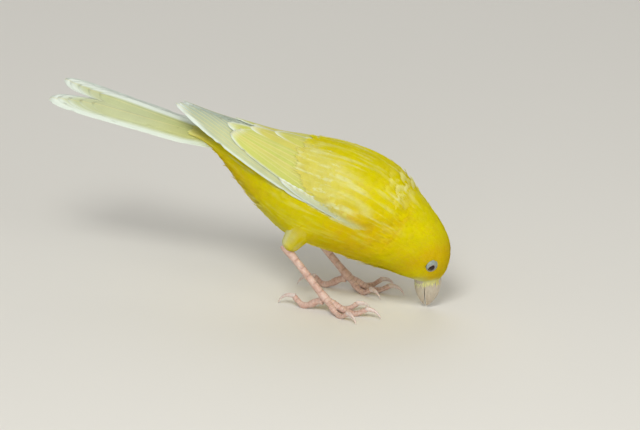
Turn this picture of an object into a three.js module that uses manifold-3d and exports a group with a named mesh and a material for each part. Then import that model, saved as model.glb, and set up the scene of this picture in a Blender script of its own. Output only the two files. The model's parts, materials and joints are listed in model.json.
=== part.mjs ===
// A life-size canary that stoops to pick a seed from the floor, as a still model.
// Millimetres. +X is the way the bird faces, +Y is its left and +Z is up. The floor is Z = 0.

import * as THREE from "three";
import { mergeVertices } from "three/addons/utils/BufferGeometryUtils.js";
import Module from "manifold-3d";

const wasm = await Module();
wasm.setup();

// Driving dimensions.
const GAP = 0.32; // between two nodes that touch
const FLOOR = 0;
const TURN_PIVOT_X = 12; // the neck turns the head about this upright line
const BODY_SEGMENTS = 28; // round each cross-section of the body

// The body's cross-sections, from the face to the root of the tail. Each spans from a point on the
// line of the back to one on the line of the belly (x, z), is `wide` from its middle to its side,
// and is turned to the bird's left by `turn` degrees.
const BODY = [
  { name: "face", back: [30.2, 9.4], belly: [22.4, 9.3], wide: 3.5, turn: 14 },
  { name: "lores", back: [32.0, 12.6], belly: [19.6, 10.2], wide: 5.5, turn: 14 },
  { name: "eye", back: [32.9, 17.0], belly: [17.0, 11.0], wide: 7.1, turn: 14 },
  { name: "ear", back: [32.2, 22.4], belly: [13.8, 12.4], wide: 8.6, turn: 12 },
  { name: "nape", back: [28.4, 29.6], belly: [8.8, 13.8], wide: 10.6, turn: 8 },
  { name: "shoulder", back: [21.2, 38.2], belly: [1.4, 15.6], wide: 13.0, turn: 2 },
  { name: "breast", back: [9.4, 45.2], belly: [-7.8, 17.6], wide: 14.4, turn: 0 },
  { name: "belly", back: [-4.0, 48.2], belly: [-17.6, 21.4], wide: 13.8, turn: 0 },
  { name: "vent", back: [-15.5, 48.5], belly: [-24.4, 27.2], wide: 11.0, turn: 0 },
  { name: "rump", back: [-25.0, 48.0], belly: [-30.0, 32.8], wide: 7.8, turn: 0 },
  { name: "coverts", back: [-33.5, 47.8], belly: [-35.0, 39.2], wide: 5.6, turn: 0 },
  { name: "root", back: [-41.0, 48.4], belly: [-40.6, 43.8], wide: 5.0, turn: 0 },
  { name: "end", back: [-47.2, 49.3], belly: [-46.6, 46.1], wide: 5.2, turn: 0 },
];
const stationOf = (name) => BODY.findIndex((s) => s.name === name);

// Where the body is parted, counted in cross-sections.
const HEAD_END = 3.35;
const NECK_END = 4.85;
const TORSO_END = 8.7;

const EYE = {
  forward: 15.8,
  up: 15.4,
  radius: 2.35,
  proud: 0.55, // how far the ball stands out of the head
  lid: 1.85,
  lidTube: 0.45,
};

// The bill hangs straight down from the face. Its halves meet at the gape, and part a little.
const BILL = {
  gape: 13.7, // forward of the turning line
  rootUp: 8.98,
  tipUp: 0.62,
  high: 4.4, // from the gape to the ridge of the upper half
  low: 3.1, // from the gape to the edge of the lower half
  wide: 3.3,
  parted: [0.16, 0.3], // each half's distance from the gape, at the root and at the tip
  shorter: 0.5, // the lower half ends this far above the tip
};
const NOSTRIL = { forward: 17.3, side: 2.1, up: 8.3, radius: 0.42 };

// The folded wing is a curved sheet. Its lower edge runs back from the bend of the wing, in steps of
// WING_STEP along it: x, y and z there, `lean` is how far up the sheet faces there, and `radius` is
// the sheet's own curve above it.
const WING_STEP = 13;
const WING = [
  { x: 20.0, y: 11.4, z: 24.6, lean: -6, radius: 12.2 },
  { x: 8.2, y: 13.8, z: 30.0, lean: -2, radius: 14.2 },
  { x: -3.5, y: 14.2, z: 35.8, lean: 9, radius: 14.8 },
  { x: -15.0, y: 12.2, z: 41.8, lean: 27, radius: 13.6 },
  { x: -27.0, y: 9.0, z: 47.0, lean: 44, radius: 12.4 },
  { x: -39.0, y: 6.4, z: 51.9, lean: 56, radius: 12.0 },
  { x: -51.2, y: 4.6, z: 56.4, lean: 62, radius: 12.0 },
];
const WING_SLOPE = 24; // degrees that the folded wing climbs to the rear
const VANE = 0.55; // how thick a feather's vane is

const TAIL = {
  root: [-47.4, 47.6],
  slope: 11.4,
  pairs: 6,
  shortest: 30.0, // the middle pair, behind the root
  longest: 42.4,
  width: 6.6,
  rootSpread: [1.1, 0.5], // the middle pair's distance from the middle line, and the step outwards
  tipSpread: [3.0, 0.28],
  step: 0.3, // each pair lies this far under the last
  arch: 0.022,
  roll: 7, // degrees, left side up
};

const LEG = {
  hip: [-6.0, 8.6, 28.5],
  heel: [-13.2, 9.2, 17.8],
  foot: [-1.2, 9.8, 4.2],
  thighRadii: [5.6, 4.4, 3.0, 2.0],
  shankRadius: 1.15,
  heelRadius: 1.5,
  footStub: 1.9,
};

// Each toe: the way it points from the foot, outwards from straight ahead, its length to the root
// of the claw, its thickness and its claw's length.
const CLAW = { sweep: 80, first: 100, root: 0.72, tip: 0.14 };
const TOES = [
  { name: "hind", points: 187, long: 9.2, radius: 1.05, claw: 6.4 },
  { name: "inner", points: -24, long: 9.6, radius: 0.95, claw: 4.6 },
  { name: "middle", points: 2, long: 13.2, radius: 1.0, claw: 5.2 },
  { name: "outer", points: 30, long: 10.2, radius: 0.92, claw: 4.6 },
];

// Catmull-Rom through a list of numbers, at any place t from 0 to its last index.
function spline(values, t) {
  const last = values.length - 1;
  const i = Math.min(Math.max(Math.floor(t), 0), last - 1);
  const f = t - i;
  const at = (k) => values[Math.min(Math.max(k, 0), last)];
  const [a, b, c, d] = [at(i - 1), at(i), at(i + 1), at(i + 2)];
  return (
    b + 0.5 * f * (c - a + f * (2 * a - 5 * b + 4 * c - d + f * (3 * (b - c) + d - a)))
  );
}

const radians = THREE.MathUtils.degToRad;
const vec = (x, y, z) => new THREE.Vector3(x, y, z);
const mix = THREE.MathUtils.lerp;

// A closed solid from points and triangles, turned to face outwards.
function solidFrom(points, faces) {
  let volume = 0;
  for (const [a, b, c] of faces) {
    volume += points[a].dot(vec().crossVectors(points[b], points[c]));
  }
  const order = volume < 0 ? ([a, b, c]) => [a, c, b] : (f) => f;
  const geometry = new THREE.BufferGeometry();
  geometry.setAttribute(
    "position",
    new THREE.Float32BufferAttribute(points.flatMap((p) => [p.x, p.y, p.z]), 3),
  );
  geometry.setIndex(faces.flatMap(order));
  return solidOf(geometry);
}

function solidOf(geometry) {
  const bare = geometry.clone();
  bare.deleteAttribute("normal");
  bare.deleteAttribute("uv");
  const merged = mergeVertices(bare, 1e-4);
  return new wasm.Manifold(
    new wasm.Mesh({
      numProp: 3,
      vertProperties: merged.attributes.position.array,
      triVerts: new Uint32Array(merged.index.array),
    }),
  );
}

// A tube of rings, each a list of points, closed by a fan at either end.
function loft(rings) {
  const count = rings[0].length;
  const points = rings.flat();
  const faces = [];
  for (let i = 0; i + 1 < rings.length; i++) {
    for (let j = 0; j < count; j++) {
      const a = i * count + j;
      const b = i * count + ((j + 1) % count);
      faces.push([a, b, a + count], [b, b + count, a + count]);
    }
  }
  for (const [ring, turned] of [[0, true], [rings.length - 1, false]]) {
    const middle = points.length;
    points.push(rings[ring].reduce((s, p) => s.add(p), vec(0, 0, 0)).divideScalar(count));
    for (let j = 0; j < count; j++) {
      const pair = [ring * count + j, ring * count + ((j + 1) % count)];
      faces.push(turned ? [pair[1], pair[0], middle] : [pair[0], pair[1], middle]);
    }
  }
  return solidFrom(points, faces);
}

// A thin closed plate from a grid of [top, bottom] points, both faces split alike.
function plate(grid) {
  const [rows, columns] = [grid.length, grid[0].length];
  const points = [0, 1].flatMap((side) => grid.flatMap((row) => row.map((p) => p[side])));
  const at = (i, j, side) => side * rows * columns + i * columns + j;
  const faces = [];
  for (let i = 0; i + 1 < rows; i++) {
    for (let j = 0; j + 1 < columns; j++) {
      faces.push([at(i, j, 0), at(i + 1, j, 0), at(i, j + 1, 0)]);
      faces.push([at(i + 1, j, 0), at(i + 1, j + 1, 0), at(i, j + 1, 0)]);
      faces.push([at(i, j, 1), at(i, j + 1, 1), at(i + 1, j, 1)]);
      faces.push([at(i + 1, j, 1), at(i, j + 1, 1), at(i + 1, j + 1, 1)]);
    }
    for (const [j, flip] of [[0, true], [columns - 1, false]]) {
      const [a, b, c, d] = [at(i, j, 0), at(i + 1, j, 0), at(i, j, 1), at(i + 1, j, 1)];
      faces.push(...(flip ? [[a, d, b], [a, c, d]] : [[a, b, d], [a, d, c]]));
    }
  }
  for (let j = 0; j + 1 < columns; j++) {
    for (const [i, flip] of [[0, false], [rows - 1, true]]) {
      const [a, b, c, d] = [at(i, j, 0), at(i, j + 1, 0), at(i, j, 1), at(i, j + 1, 1)];
      faces.push(...(flip ? [[a, d, b], [a, c, d]] : [[a, b, d], [a, d, c]]));
    }
  }
  return solidFrom(points, faces);
}

const joined = (solids) => wasm.Manifold.union(solids);

// The largest closed surface of a solid.
function largest(solid) {
  return solid.decompose().sort((a, b) => b.volume() - a.volume())[0];
}

// A point turned about the neck's upright line.
function turned(point, degrees) {
  const pivot = vec(TURN_PIVOT_X, 0, 0);
  return point.sub(pivot).applyAxisAngle(vec(0, 0, 1), radians(degrees)).add(pivot);
}

// The body's surface at cross-section t, at an angle round it from the bird's left side up over the
// back, moved outwards by `grown`.
function bodyPoint(t, angle, grown = 0) {
  const at = (pick) => spline(BODY.map(pick), t);
  const back = vec(at((s) => s.back[0]), 0, at((s) => s.back[1]));
  const belly = vec(at((s) => s.belly[0]), 0, at((s) => s.belly[1]));
  const middle = back.clone().add(belly).divideScalar(2);
  const up = back.sub(belly);
  const deep = up.length() / 2 + grown;
  const wide = at((s) => s.wide) + grown;
  const point = middle.addScaledVector(up.normalize(), deep * Math.sin(angle));
  point.y += wide * Math.cos(angle);
  return turned(point, at((s) => s.turn));
}

function bodyRing(t, grown = 0, size = 1) {
  const ring = [];
  for (let j = 0; j < BODY_SEGMENTS; j++) {
    ring.push(bodyPoint(t, (2 * Math.PI * j) / BODY_SEGMENTS, grown));
  }
  const middle = ring.reduce((s, p) => s.add(p), vec(0, 0, 0)).divideScalar(BODY_SEGMENTS);
  return ring.map((p) => p.sub(middle).multiplyScalar(size).add(middle));
}

// A length of the body from cross-section t0 to t1.
function bodyLength(t0, t1, steps, grown = 0) {
  const rings = [];
  for (let i = 0; i <= steps; i++) {
    rings.push(bodyRing(mix(t0, t1, i / steps), grown));
  }
  return loft(rings);
}

const halfGap = (t, sign) => {
  const here = bodyRing(t).reduce((s, p) => s.add(p), vec(0, 0, 0));
  const next = bodyRing(t + 0.1).reduce((s, p) => s.add(p), vec(0, 0, 0));
  return t + (sign * 0.1 * 0.75 * GAP * BODY_SEGMENTS) / here.distanceTo(next);
};
const bodyEnd = BODY.length - 1;
const grownBody = bodyLength(0, bodyEnd, 44, GAP);

// The head: the eyes' sockets are cut and the lids stand round them.
const headPlace = (forward, side, up) =>
  turned(vec(TURN_PIVOT_X + forward, side, up), BODY[stationOf("eye")].turn);

function ball(middle, radius, around = 14, along = 8) {
  const geometry = new THREE.SphereGeometry(radius, around, along);
  geometry.translate(middle.x, middle.y, middle.z);
  return solidOf(geometry);
}

// The point of the head's side that lies nearest to a place seen from the side, and its normal.
function headSide(forward, up, sign) {
  const wanted = headPlace(forward, sign * 6, up);
  const seen = headPlace(0, 1, 0).sub(headPlace(0, 0, 0));
  const found = { far: Infinity };
  for (let t = 0.2; t < HEAD_END; t += 0.05) {
    for (let angle = -1.4; angle < 1.4; angle += 0.05) {
      const round = sign > 0 ? angle : Math.PI - angle;
      const point = bodyPoint(t, round);
      const away = point.clone().sub(wanted).projectOnPlane(seen).length();
      if (away < found.far) {
        const alongs = bodyPoint(t + 0.05, round).sub(point);
        const rounds = bodyPoint(t, round + 0.05).sub(point);
        const normal = vec().crossVectors(alongs, rounds).normalize();
        normal.multiplyScalar(Math.sign(normal.dot(seen)) * sign);
        Object.assign(found, { far: away, point, normal });
      }
    }
  }
  return found;
}

function eyePlaces() {
  return [["left", 1], ["right", -1]].map(([side, sign]) => {
    const { point, normal } = headSide(EYE.forward, EYE.up, sign);
    return { side, out: normal, middle: point.addScaledVector(normal, EYE.proud - EYE.radius) };
  });
}

function makeHead() {
  const lids = eyePlaces().map(({ middle, out }) => {
    const ring = new THREE.TorusGeometry(EYE.lid, EYE.lidTube, 6, 16);
    ring.applyQuaternion(new THREE.Quaternion().setFromUnitVectors(vec(0, 0, 1), out));
    const centre = middle.clone().addScaledVector(out, EYE.radius - EYE.proud + 0.08);
    ring.translate(centre.x, centre.y, centre.z);
    return solidOf(ring);
  });
  const sockets = eyePlaces().map(({ middle }) => ball(middle, EYE.radius + GAP));
  const skull = bodyLength(0, halfGap(HEAD_END, -1), 12);
  return largest(joined([skull, ...lids]).subtract(joined(sockets)));
}

// One half of the bill, from the face to the tip: flat at the gape and round outside.
function billHalf(sign, deep, tipUp) {
  const rings = [];
  const around = 8;
  for (const s of [0, 0.22, 0.44, 0.64, 0.82, 0.94, 1]) {
    const height = Math.max(deep * (1 - s ** 2.3) ** 0.8, 0.12);
    const wide = Math.max(BILL.wide * (1 - s ** 1.6) ** 0.9, 0.14);
    const edge = BILL.gape + sign * mix(...BILL.parted, s);
    const ring = [];
    for (let j = 0; j <= around; j++) {
      const angle = (Math.PI * j) / around;
      const forward = edge + sign * height * Math.sin(angle);
      ring.push(headPlace(forward, wide * Math.cos(angle), mix(BILL.rootUp, tipUp, s)));
    }
    rings.push(ring);
  }
  return loft(rings);
}

function makeUpperBill() {
  const pits = [1, -1].map((sign) =>
    ball(headPlace(NOSTRIL.forward, sign * NOSTRIL.side, NOSTRIL.up), NOSTRIL.radius, 8, 6),
  );
  return billHalf(1, BILL.high, BILL.tipUp).subtract(joined(pits));
}

// A place on the left wing's sheet: `along` from the bend, `across` up from the lower edge, and
// `lift` out from the sheet.
function wingPlace(along, across, lift) {
  const at = (key) => spline(WING.map((s) => s[key]), along / WING_STEP);
  const [lean, radius] = [radians(at("lean")), at("radius")];
  const angle = lean + across / radius;
  const out = radius * (Math.cos(angle) - Math.cos(lean)) + lift * Math.cos(angle);
  const up = radius * (Math.sin(angle) - Math.sin(lean)) + lift * Math.sin(angle);
  const slope = radians(WING_SLOPE);
  return vec(at("x") + up * Math.sin(slope), at("y") + out, at("z") + up * Math.cos(slope));
}

// One feather: a thin tapered plate from its root to its tip, as wide as `width`, bowed sideways.
function vane(place, { root, tip, width, lift, bow = 0, columns = 2, blunt = 0.45 }) {
  const grid = [0, 0.35, 0.7, 0.9, 1].map((s) => {
    const middle = [mix(root[0], tip[0], s), mix(root[1], tip[1], s) + 4 * bow * s * (1 - s)];
    const way = Math.atan2(tip[1] - root[1] + 4 * bow * (1 - 2 * s), tip[0] - root[0]);
    const full = Math.min(1, 0.5 + 1.8 * s);
    const end = s > 0.7 ? Math.sqrt(1 - (1 - blunt ** 2) * ((s - 0.7) / 0.3) ** 2) : 1;
    const half = (width / 2) * full * end;
    const top = mix(lift[0], lift[1], s);
    const thick = s > 0.9 ? VANE * 0.75 : VANE;
    const row = [];
    for (let j = 0; j < columns; j++) {
      const side = (2 * j) / (columns - 1) - 1;
      const [a, b] = [middle[0] - half * side * Math.sin(way), middle[1] + half * side * Math.cos(way)];
      row.push([place(a, b, top), place(a, b, top - thick)]);
    }
    return row;
  });
  return plate(grid);
}

// The wing's flesh and small feathers, as one domed plate at the shoulder.
function wingShoulder() {
  const grid = [];
  const [rows, columns] = [7, 6];
  const [start, end] = [4, 41];
  for (let i = 0; i <= rows; i++) {
    const a = mix(start, end, i / rows);
    const front = Math.max(0, 1 - (a - start) / 9) ** 1.6;
    const low = 0.2 + 6 * front;
    const high = 15.6 - 5 * front;
    const row = [];
    for (let j = 0; j <= columns; j++) {
      const f = j / columns;
      const dome = Math.sqrt(Math.abs(Math.sin(Math.PI * f)));
      const top = mix(-1.6, 1.0, dome * Math.min(1, 0.4 + (a - start) / 6, 0.5 + (end - a) / 8));
      row.push([wingPlace(a, mix(low, high, f), top), wingPlace(a, mix(low, high, f), -4.5)]);
    }
    grid.push(row);
  }
  return plate(grid);
}

// The tiers of the folded wing, from under to over, as places on its sheet (along, across). Each
// gives the tips from its lowest feather to its highest, and for these two the roots, the lifts at
// root and tip, and the widths.
const TIERS = [
  {
    name: "primaries",
    roots: [[21, 2.6], [24, 4.6]],
    tips: [[76.2, 2.6], [75, 3.1], [71, 3.5], [65.5, 3.9], [60.5, 4.5], [55.5, 5.1]],
    lifts: [[0.1, 0.1], [0.75, 0.75]],
    widths: [4.6, 5.4],
  },
  {
    name: "secondaries",
    roots: [[24, 5.8], [24, 10]],
    tips: [[51.5, 4.6], [50.8, 6.1], [49.6, 7.6]],
    lifts: [[0.8, 0.9], [1.05, 1.05]],
    widths: [5.4, 5.6],
  },
  {
    name: "tertials",
    roots: [[24, 11], [24, 15]],
    tips: [[58, 5.6], [52, 8.2], [46.5, 11.2]],
    lifts: [[1.0, 1.05], [1.4, 1.45]],
    widths: [6.6, 7.2],
    bow: 0.5,
  },
  {
    name: "greater coverts",
    roots: [[21, 3.4], [21, 13]],
    tips: [[33.5, 3.4], [35.6, 5.8], [36.6, 8.2], [36.2, 10.6], [34.8, 12.8]],
    lifts: [[0.7, 1.45], [0.7, 1.8]],
    widths: [4.8, 4.8],
  },
  {
    name: "median coverts",
    roots: [[15, 4], [15, 11]],
    tips: [[25.5, 3.8], [27.2, 6.2], [27.2, 8.8], [25.6, 11.2]],
    lifts: [[0.6, 1.5], [0.6, 1.7]],
    widths: [4.8, 4.8],
  },
  {
    name: "primary coverts",
    roots: [[16, 2.6], [16, 3.4]],
    tips: [[37, 1.1], [31.5, 2.1]],
    lifts: [[0.6, 0.8], [0.7, 1.0]],
    widths: [2.2, 2.6],
  },
];

function makeWing(sign) {
  const feathers = TIERS.flatMap(({ roots, tips, lifts, widths, bow }) =>
    tips.map((tip, i) => {
      const f = i / (tips.length - 1);
      const between = ([first, last]) => first.map((v, k) => mix(v, last[k], f));
      return vane(wingPlace, {
        root: between(roots),
        tip,
        lift: between(lifts),
        width: mix(...widths, f),
        bow,
      });
    }),
  );
  const left = joined([wingShoulder(), ...feathers]).trimByPlane([0, 1, 0], GAP / 2);
  return largest((sign > 0 ? left : left.mirror([0, 1, 0])).subtract(grownBody));
}

// A place on the tail: `along` behind its root, `across` to the bird's left and `lift` up.
function tailPlace(along, across, lift) {
  const slope = radians(TAIL.slope);
  const up = lift - TAIL.arch * across ** 2 + across * Math.tan(radians(TAIL.roll));
  return vec(
    TAIL.root[0] - along * Math.cos(slope) + up * Math.sin(slope),
    across,
    TAIL.root[1] + along * Math.sin(slope) + up * Math.cos(slope),
  );
}

function makeTail() {
  const feathers = [];
  for (let i = 0; i < TAIL.pairs; i++) {
    for (const sign of [1, -1]) {
      const long = mix(TAIL.shortest, TAIL.longest, Math.min(1, 1.15 * Math.sin((i / 5) * 1.35)));
      const height = 0.9 - TAIL.step * i + (sign > 0 ? 0.12 : 0);
      feathers.push(
        vane(tailPlace, {
          root: [0, sign * (TAIL.rootSpread[0] + TAIL.rootSpread[1] * i)],
          tip: [long, sign * (TAIL.tipSpread[0] + TAIL.tipSpread[1] * i)],
          width: TAIL.width,
          lift: [height, height],
          blunt: 0.3,
        }),
      );
    }
  }
  return largest(joined(feathers));
}

// A ring round a line, wide and deep, at a place on it.
function ringAt(middle, way, wide, deep, count, upright = vec(0, 0, 1)) {
  const side = vec().crossVectors(upright, way).normalize();
  const up = vec().crossVectors(way, side).normalize();
  const ring = [];
  for (let j = 0; j < count; j++) {
    const angle = (2 * Math.PI * j) / count;
    ring.push(
      middle
        .clone()
        .addScaledVector(side, wide * Math.cos(angle))
        .addScaledVector(up, deep * Math.sin(angle)),
    );
  }
  return ring;
}

const sided = ([x, y, z], sign) => vec(x, sign * y, z);

function makeThigh(sign, grown = 0) {
  const [hip, heel] = [sided(LEG.hip, sign), sided(LEG.heel, sign)];
  const way = heel.clone().sub(hip);
  const across = vec(1, 0, 0);
  const rings = [];
  const steps = 10;
  for (let i = 0; i <= steps; i++) {
    const s = i / steps;
    const radius = spline(LEG.thighRadii, s * 3) * Math.sqrt(1 - Math.max(0, (s - 0.86) / 0.145) ** 2);
    const middle = hip.clone().addScaledVector(way, s * (1 + grown / way.length()));
    rings.push(ringAt(middle, way, radius * 0.92 + grown, radius + grown, 16, across));
  }
  return loft(rings);
}

// The bare shank, with a step at the lower edge of each scute on its front.
function makeShank(sign) {
  const [heel, foot] = [sided(LEG.heel, sign), sided(LEG.foot, sign)];
  const way = foot.clone().sub(heel);
  const long = way.length();
  const rings = [];
  const scutes = 6;
  const end = long - LEG.footStub - GAP;
  for (let i = 0; i <= scutes * 2; i++) {
    const s = Math.floor(i / 2) / scutes;
    const place = mix(-1.2, end, s) + (i % 2 ? 0.25 : 0);
    const bulge = LEG.heelRadius - LEG.shankRadius;
    const flare = bulge * Math.exp(-((Math.max(0, place) / 2.2) ** 2)) + 0.25 * Math.max(0, s - 0.75);
    const radius = LEG.shankRadius + flare + (i % 2 ? 0.0 : 0.1);
    const middle = heel.clone().addScaledVector(way, place / long);
    rings.push(ringAt(middle, way, radius * 0.9, radius, 10));
  }
  return largest(loft(rings).subtract(joined([makeThigh(sign, GAP), grownBody])));
}

// How far a claw's tip lies below its root.
function clawDrop(toe) {
  const radius = toe.claw / radians(CLAW.sweep);
  return radius * (Math.sin(radians(CLAW.first)) - Math.sin(radians(CLAW.first - CLAW.sweep)));
}

// The line that a toe follows from the foot outwards, with the claw's tip on the floor.
function toeLine(toe, sign) {
  const foot = sided(LEG.foot, sign);
  const hind = toe.name === "hind";
  const way = vec(Math.cos(radians(toe.points)), sign * Math.sin(radians(toe.points)), 0);
  const end = clawDrop(toe) + CLAW.tip;
  const heights = hind ? [3.3, 2.4, 1.1, 0.95, end] : [4.0, 2.6, 0.9, 0.75, end];
  const start = hind ? foot.clone().add(vec(-0.8, 0, 0)) : foot;
  const points = heights.map((up, i) => {
    const out = (toe.long * i) / (heights.length - 1);
    return start.clone().addScaledVector(way, out).setZ(up);
  });
  return { way, curve: new THREE.CatmullRomCurve3(points) };
}

function makeToe(toe, sign) {
  const { curve } = toeLine(toe, sign);
  const rings = [];
  const steps = 8;
  for (let i = 0; i <= steps; i++) {
    const s = i / steps;
    const radius = toe.radius * mix(1.1, 0.82, s);
    rings.push(ringAt(curve.getPointAt(s), curve.getTangentAt(s), radius, radius, 8));
  }
  return loft(rings);
}

function makeClaw(toe, sign) {
  const { way, curve } = toeLine(toe, sign);
  const root = curve.getPointAt(1);
  const radius = toe.claw / radians(CLAW.sweep);
  const first = radians(CLAW.first);
  const rings = [];
  const steps = 6;
  for (let i = 0; i <= steps; i++) {
    const s = i / steps;
    const angle = first - radians(CLAW.sweep) * s;
    const middle = root
      .clone()
      .addScaledVector(way, GAP + radius * (Math.cos(angle) - Math.cos(first)))
      .add(vec(0, 0, radius * (Math.sin(angle) - Math.sin(first))));
    const tangent = way.clone().multiplyScalar(Math.sin(angle)).add(vec(0, 0, -Math.cos(angle)));
    const thick = mix(CLAW.root, CLAW.tip, s ** 1.2);
    rings.push(ringAt(middle, tangent, thick * 0.75, thick, 6));
  }
  return loft(rings).trimByPlane([0, 0, 1], FLOOR);
}

function makeFoot(sign) {
  const [heel, foot] = [sided(LEG.heel, sign), sided(LEG.foot, sign)];
  const way = heel.clone().sub(foot).normalize();
  const radius = LEG.shankRadius + 0.15;
  const stub = loft(
    [-0.9, 0, LEG.footStub].map((d) =>
      ringAt(foot.clone().addScaledVector(way, d), way, radius * (d < 0 ? 0.7 : 1), radius, 10),
    ),
  );
  const toes = TOES.map((toe) => makeToe(toe, sign));
  return largest(joined([stub, ...toes]).trimByPlane([0, 0, 1], FLOOR));
}

const group = new THREE.Group();
const materials = {
  feathers: new THREE.MeshStandardMaterial({ color: 0xe6c81c, roughness: 0.85, metalness: 0 }),
  flight: new THREE.MeshStandardMaterial({ color: 0xe9e9c4, roughness: 0.7, metalness: 0 }),
  horn: new THREE.MeshStandardMaterial({ color: 0xc9b6a4, roughness: 0.45, metalness: 0 }),
  leg: new THREE.MeshStandardMaterial({ color: 0xc99a80, roughness: 0.6, metalness: 0 }),
  eye: new THREE.MeshStandardMaterial({ color: 0x120c0a, roughness: 0.1, metalness: 0 }),
};

function add(name, solid, material) {
  const made = solid.getMesh();
  const geometry = new THREE.BufferGeometry();
  const points = new Float32Array(made.numVert * 3);
  for (let i = 0; i < made.numVert; i++) {
    points.set(made.vertProperties.subarray(i * made.numProp, i * made.numProp + 3), i * 3);
  }
  geometry.setAttribute("position", new THREE.BufferAttribute(points, 3));
  geometry.setIndex(new THREE.BufferAttribute(made.triVerts, 1));
  const mesh = new THREE.Mesh(geometry, materials[material]);
  mesh.name = name;
  group.add(mesh);
  return mesh;
}

add("head", makeHead(), "feathers");
add("neck", bodyLength(halfGap(HEAD_END, 1), halfGap(NECK_END, -1), 7), "feathers");
add("torso", bodyLength(halfGap(NECK_END, 1), halfGap(TORSO_END, -1), 13), "feathers");
add("rump", bodyLength(halfGap(TORSO_END, 1), bodyEnd, 10), "feathers");
add("tail", makeTail(), "flight");
add("bill_upper", makeUpperBill(), "horn");
add("bill_lower", billHalf(-1, BILL.low, BILL.tipUp + BILL.shorter), "horn");
for (const { side, middle } of eyePlaces()) {
  add(`eye_${side}`, ball(middle, EYE.radius), "eye");
}
for (const [side, sign] of [["left", 1], ["right", -1]]) {
  add(`wing_${side}`, makeWing(sign), "flight");
  add(`thigh_${side}`, largest(makeThigh(sign).subtract(grownBody)), "feathers");
  add(`shank_${side}`, makeShank(sign), "leg");
  add(`foot_${side}`, makeFoot(sign), "leg");
  for (const toe of TOES) {
    add(`claw_${side}_${toe.name}`, makeClaw(toe, sign), "horn");
  }
}

// The origin goes to the middle of the foot of the bird's box.
const box = new THREE.Box3().setFromObject(group);
const middle = box.getCenter(vec(0, 0, 0));
group.position.set(-middle.x, -middle.y, -box.min.z);

export default group;
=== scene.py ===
# %% [markdown]
# # A canary that stoops to pick a seed
# A life-size model of a yellow canary, bent down so far that its bill is at the floor. The solids
# of the frame carry its true sizes. This notebook dresses them: a skin, thousands of small feathers
# that overlap, the folded wings and the tail feather by feather, eyes with lids, a bill of horn, and
# scaled legs with claws.

# %% Load the frame
import json
import math

import bmesh
import bpy
import numpy as np
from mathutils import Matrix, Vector
from mathutils.kdtree import KDTree

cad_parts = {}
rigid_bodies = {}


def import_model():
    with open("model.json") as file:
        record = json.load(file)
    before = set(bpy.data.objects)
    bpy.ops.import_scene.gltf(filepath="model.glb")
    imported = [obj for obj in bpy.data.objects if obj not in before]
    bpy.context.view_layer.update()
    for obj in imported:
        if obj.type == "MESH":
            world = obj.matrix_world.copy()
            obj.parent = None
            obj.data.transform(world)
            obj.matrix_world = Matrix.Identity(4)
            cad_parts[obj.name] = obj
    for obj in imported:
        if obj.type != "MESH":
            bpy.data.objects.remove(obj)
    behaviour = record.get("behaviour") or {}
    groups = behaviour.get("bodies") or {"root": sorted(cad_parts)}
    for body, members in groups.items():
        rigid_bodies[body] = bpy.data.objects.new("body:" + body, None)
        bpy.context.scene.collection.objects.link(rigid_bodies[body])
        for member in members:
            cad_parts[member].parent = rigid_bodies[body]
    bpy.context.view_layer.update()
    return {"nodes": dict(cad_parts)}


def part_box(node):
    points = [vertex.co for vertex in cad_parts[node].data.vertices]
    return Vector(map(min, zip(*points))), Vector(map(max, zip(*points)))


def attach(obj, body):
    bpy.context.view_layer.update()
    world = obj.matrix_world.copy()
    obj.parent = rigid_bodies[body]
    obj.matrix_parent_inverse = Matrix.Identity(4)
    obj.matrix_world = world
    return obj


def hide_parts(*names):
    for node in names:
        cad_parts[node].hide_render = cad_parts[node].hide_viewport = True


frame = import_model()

MM = 0.001
BODY_NAME = "root"
print("nodes in the frame:", len(frame["nodes"]))

# %% [markdown]
# ## One set of sizes
# The bird was laid out in millimetres about its own origin, with +X ahead, +Y to its left and +Z
# up. The frame's origin is the middle of its box, so everything is moved ahead by one distance.
# That distance is read from the rump, whose last cross-section lies at a known place.

# %% From the bird's own millimetres to the frame's metres
RUMP_END_X = -47.2
rump_low, rump_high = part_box("rump")
SHIFT = np.array([rump_low[0] / MM - RUMP_END_X, (rump_low[1] + rump_high[1]) / 2 / MM, 0.0])


def metres(points):
    return (np.asarray(points, float) + SHIFT) * MM


def millimetres(points):
    return np.asarray(points, float) / MM - SHIFT


print("the bird's origin is moved by", SHIFT.round(2), "mm")

# %% [markdown]
# ## The camera
# The photograph was taken from the bird's right, a little ahead of it and above it, with a long
# lens from far away. A long lens keeps the near wing and the far wing the same size.

# %% Camera
CAMERA_AZIMUTH = math.radians(20)
CAMERA_HEIGHT = math.radians(20)
CAMERA_DISTANCE = 1200
CAMERA_LENS = 229.5
AIM_RIGHT = -5.88  # the middle of the picture, from the bird's origin, along the picture's sides
AIM_UP = 25.15

sine_a, cosine_a = math.sin(CAMERA_AZIMUTH), math.cos(CAMERA_AZIMUTH)
sine_h, cosine_h = math.sin(CAMERA_HEIGHT), math.cos(CAMERA_HEIGHT)
picture_right = np.array([cosine_a, sine_a, 0])
picture_up = np.array([-sine_a * sine_h, cosine_a * sine_h, cosine_h])
towards_camera = np.array([sine_a * cosine_h, -cosine_a * cosine_h, sine_h])
aim = AIM_RIGHT * picture_right + AIM_UP * picture_up

bpy.ops.object.select_all(action="DESELECT")
bpy.ops.object.camera_add(location=metres(aim + CAMERA_DISTANCE * towards_camera))
camera = bpy.context.active_object
camera.name = "camera"
camera.rotation_euler = Vector(towards_camera).to_track_quat("Z", "Y").to_euler()
camera.data.lens = CAMERA_LENS
camera.data.sensor_width = 36
camera.data.clip_start = 0.05
camera.data.clip_end = 20
bpy.context.scene.camera = camera
bpy.context.scene.view_settings.view_transform = "Standard"
print("camera at", [round(v, 3) for v in camera.location])

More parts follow.
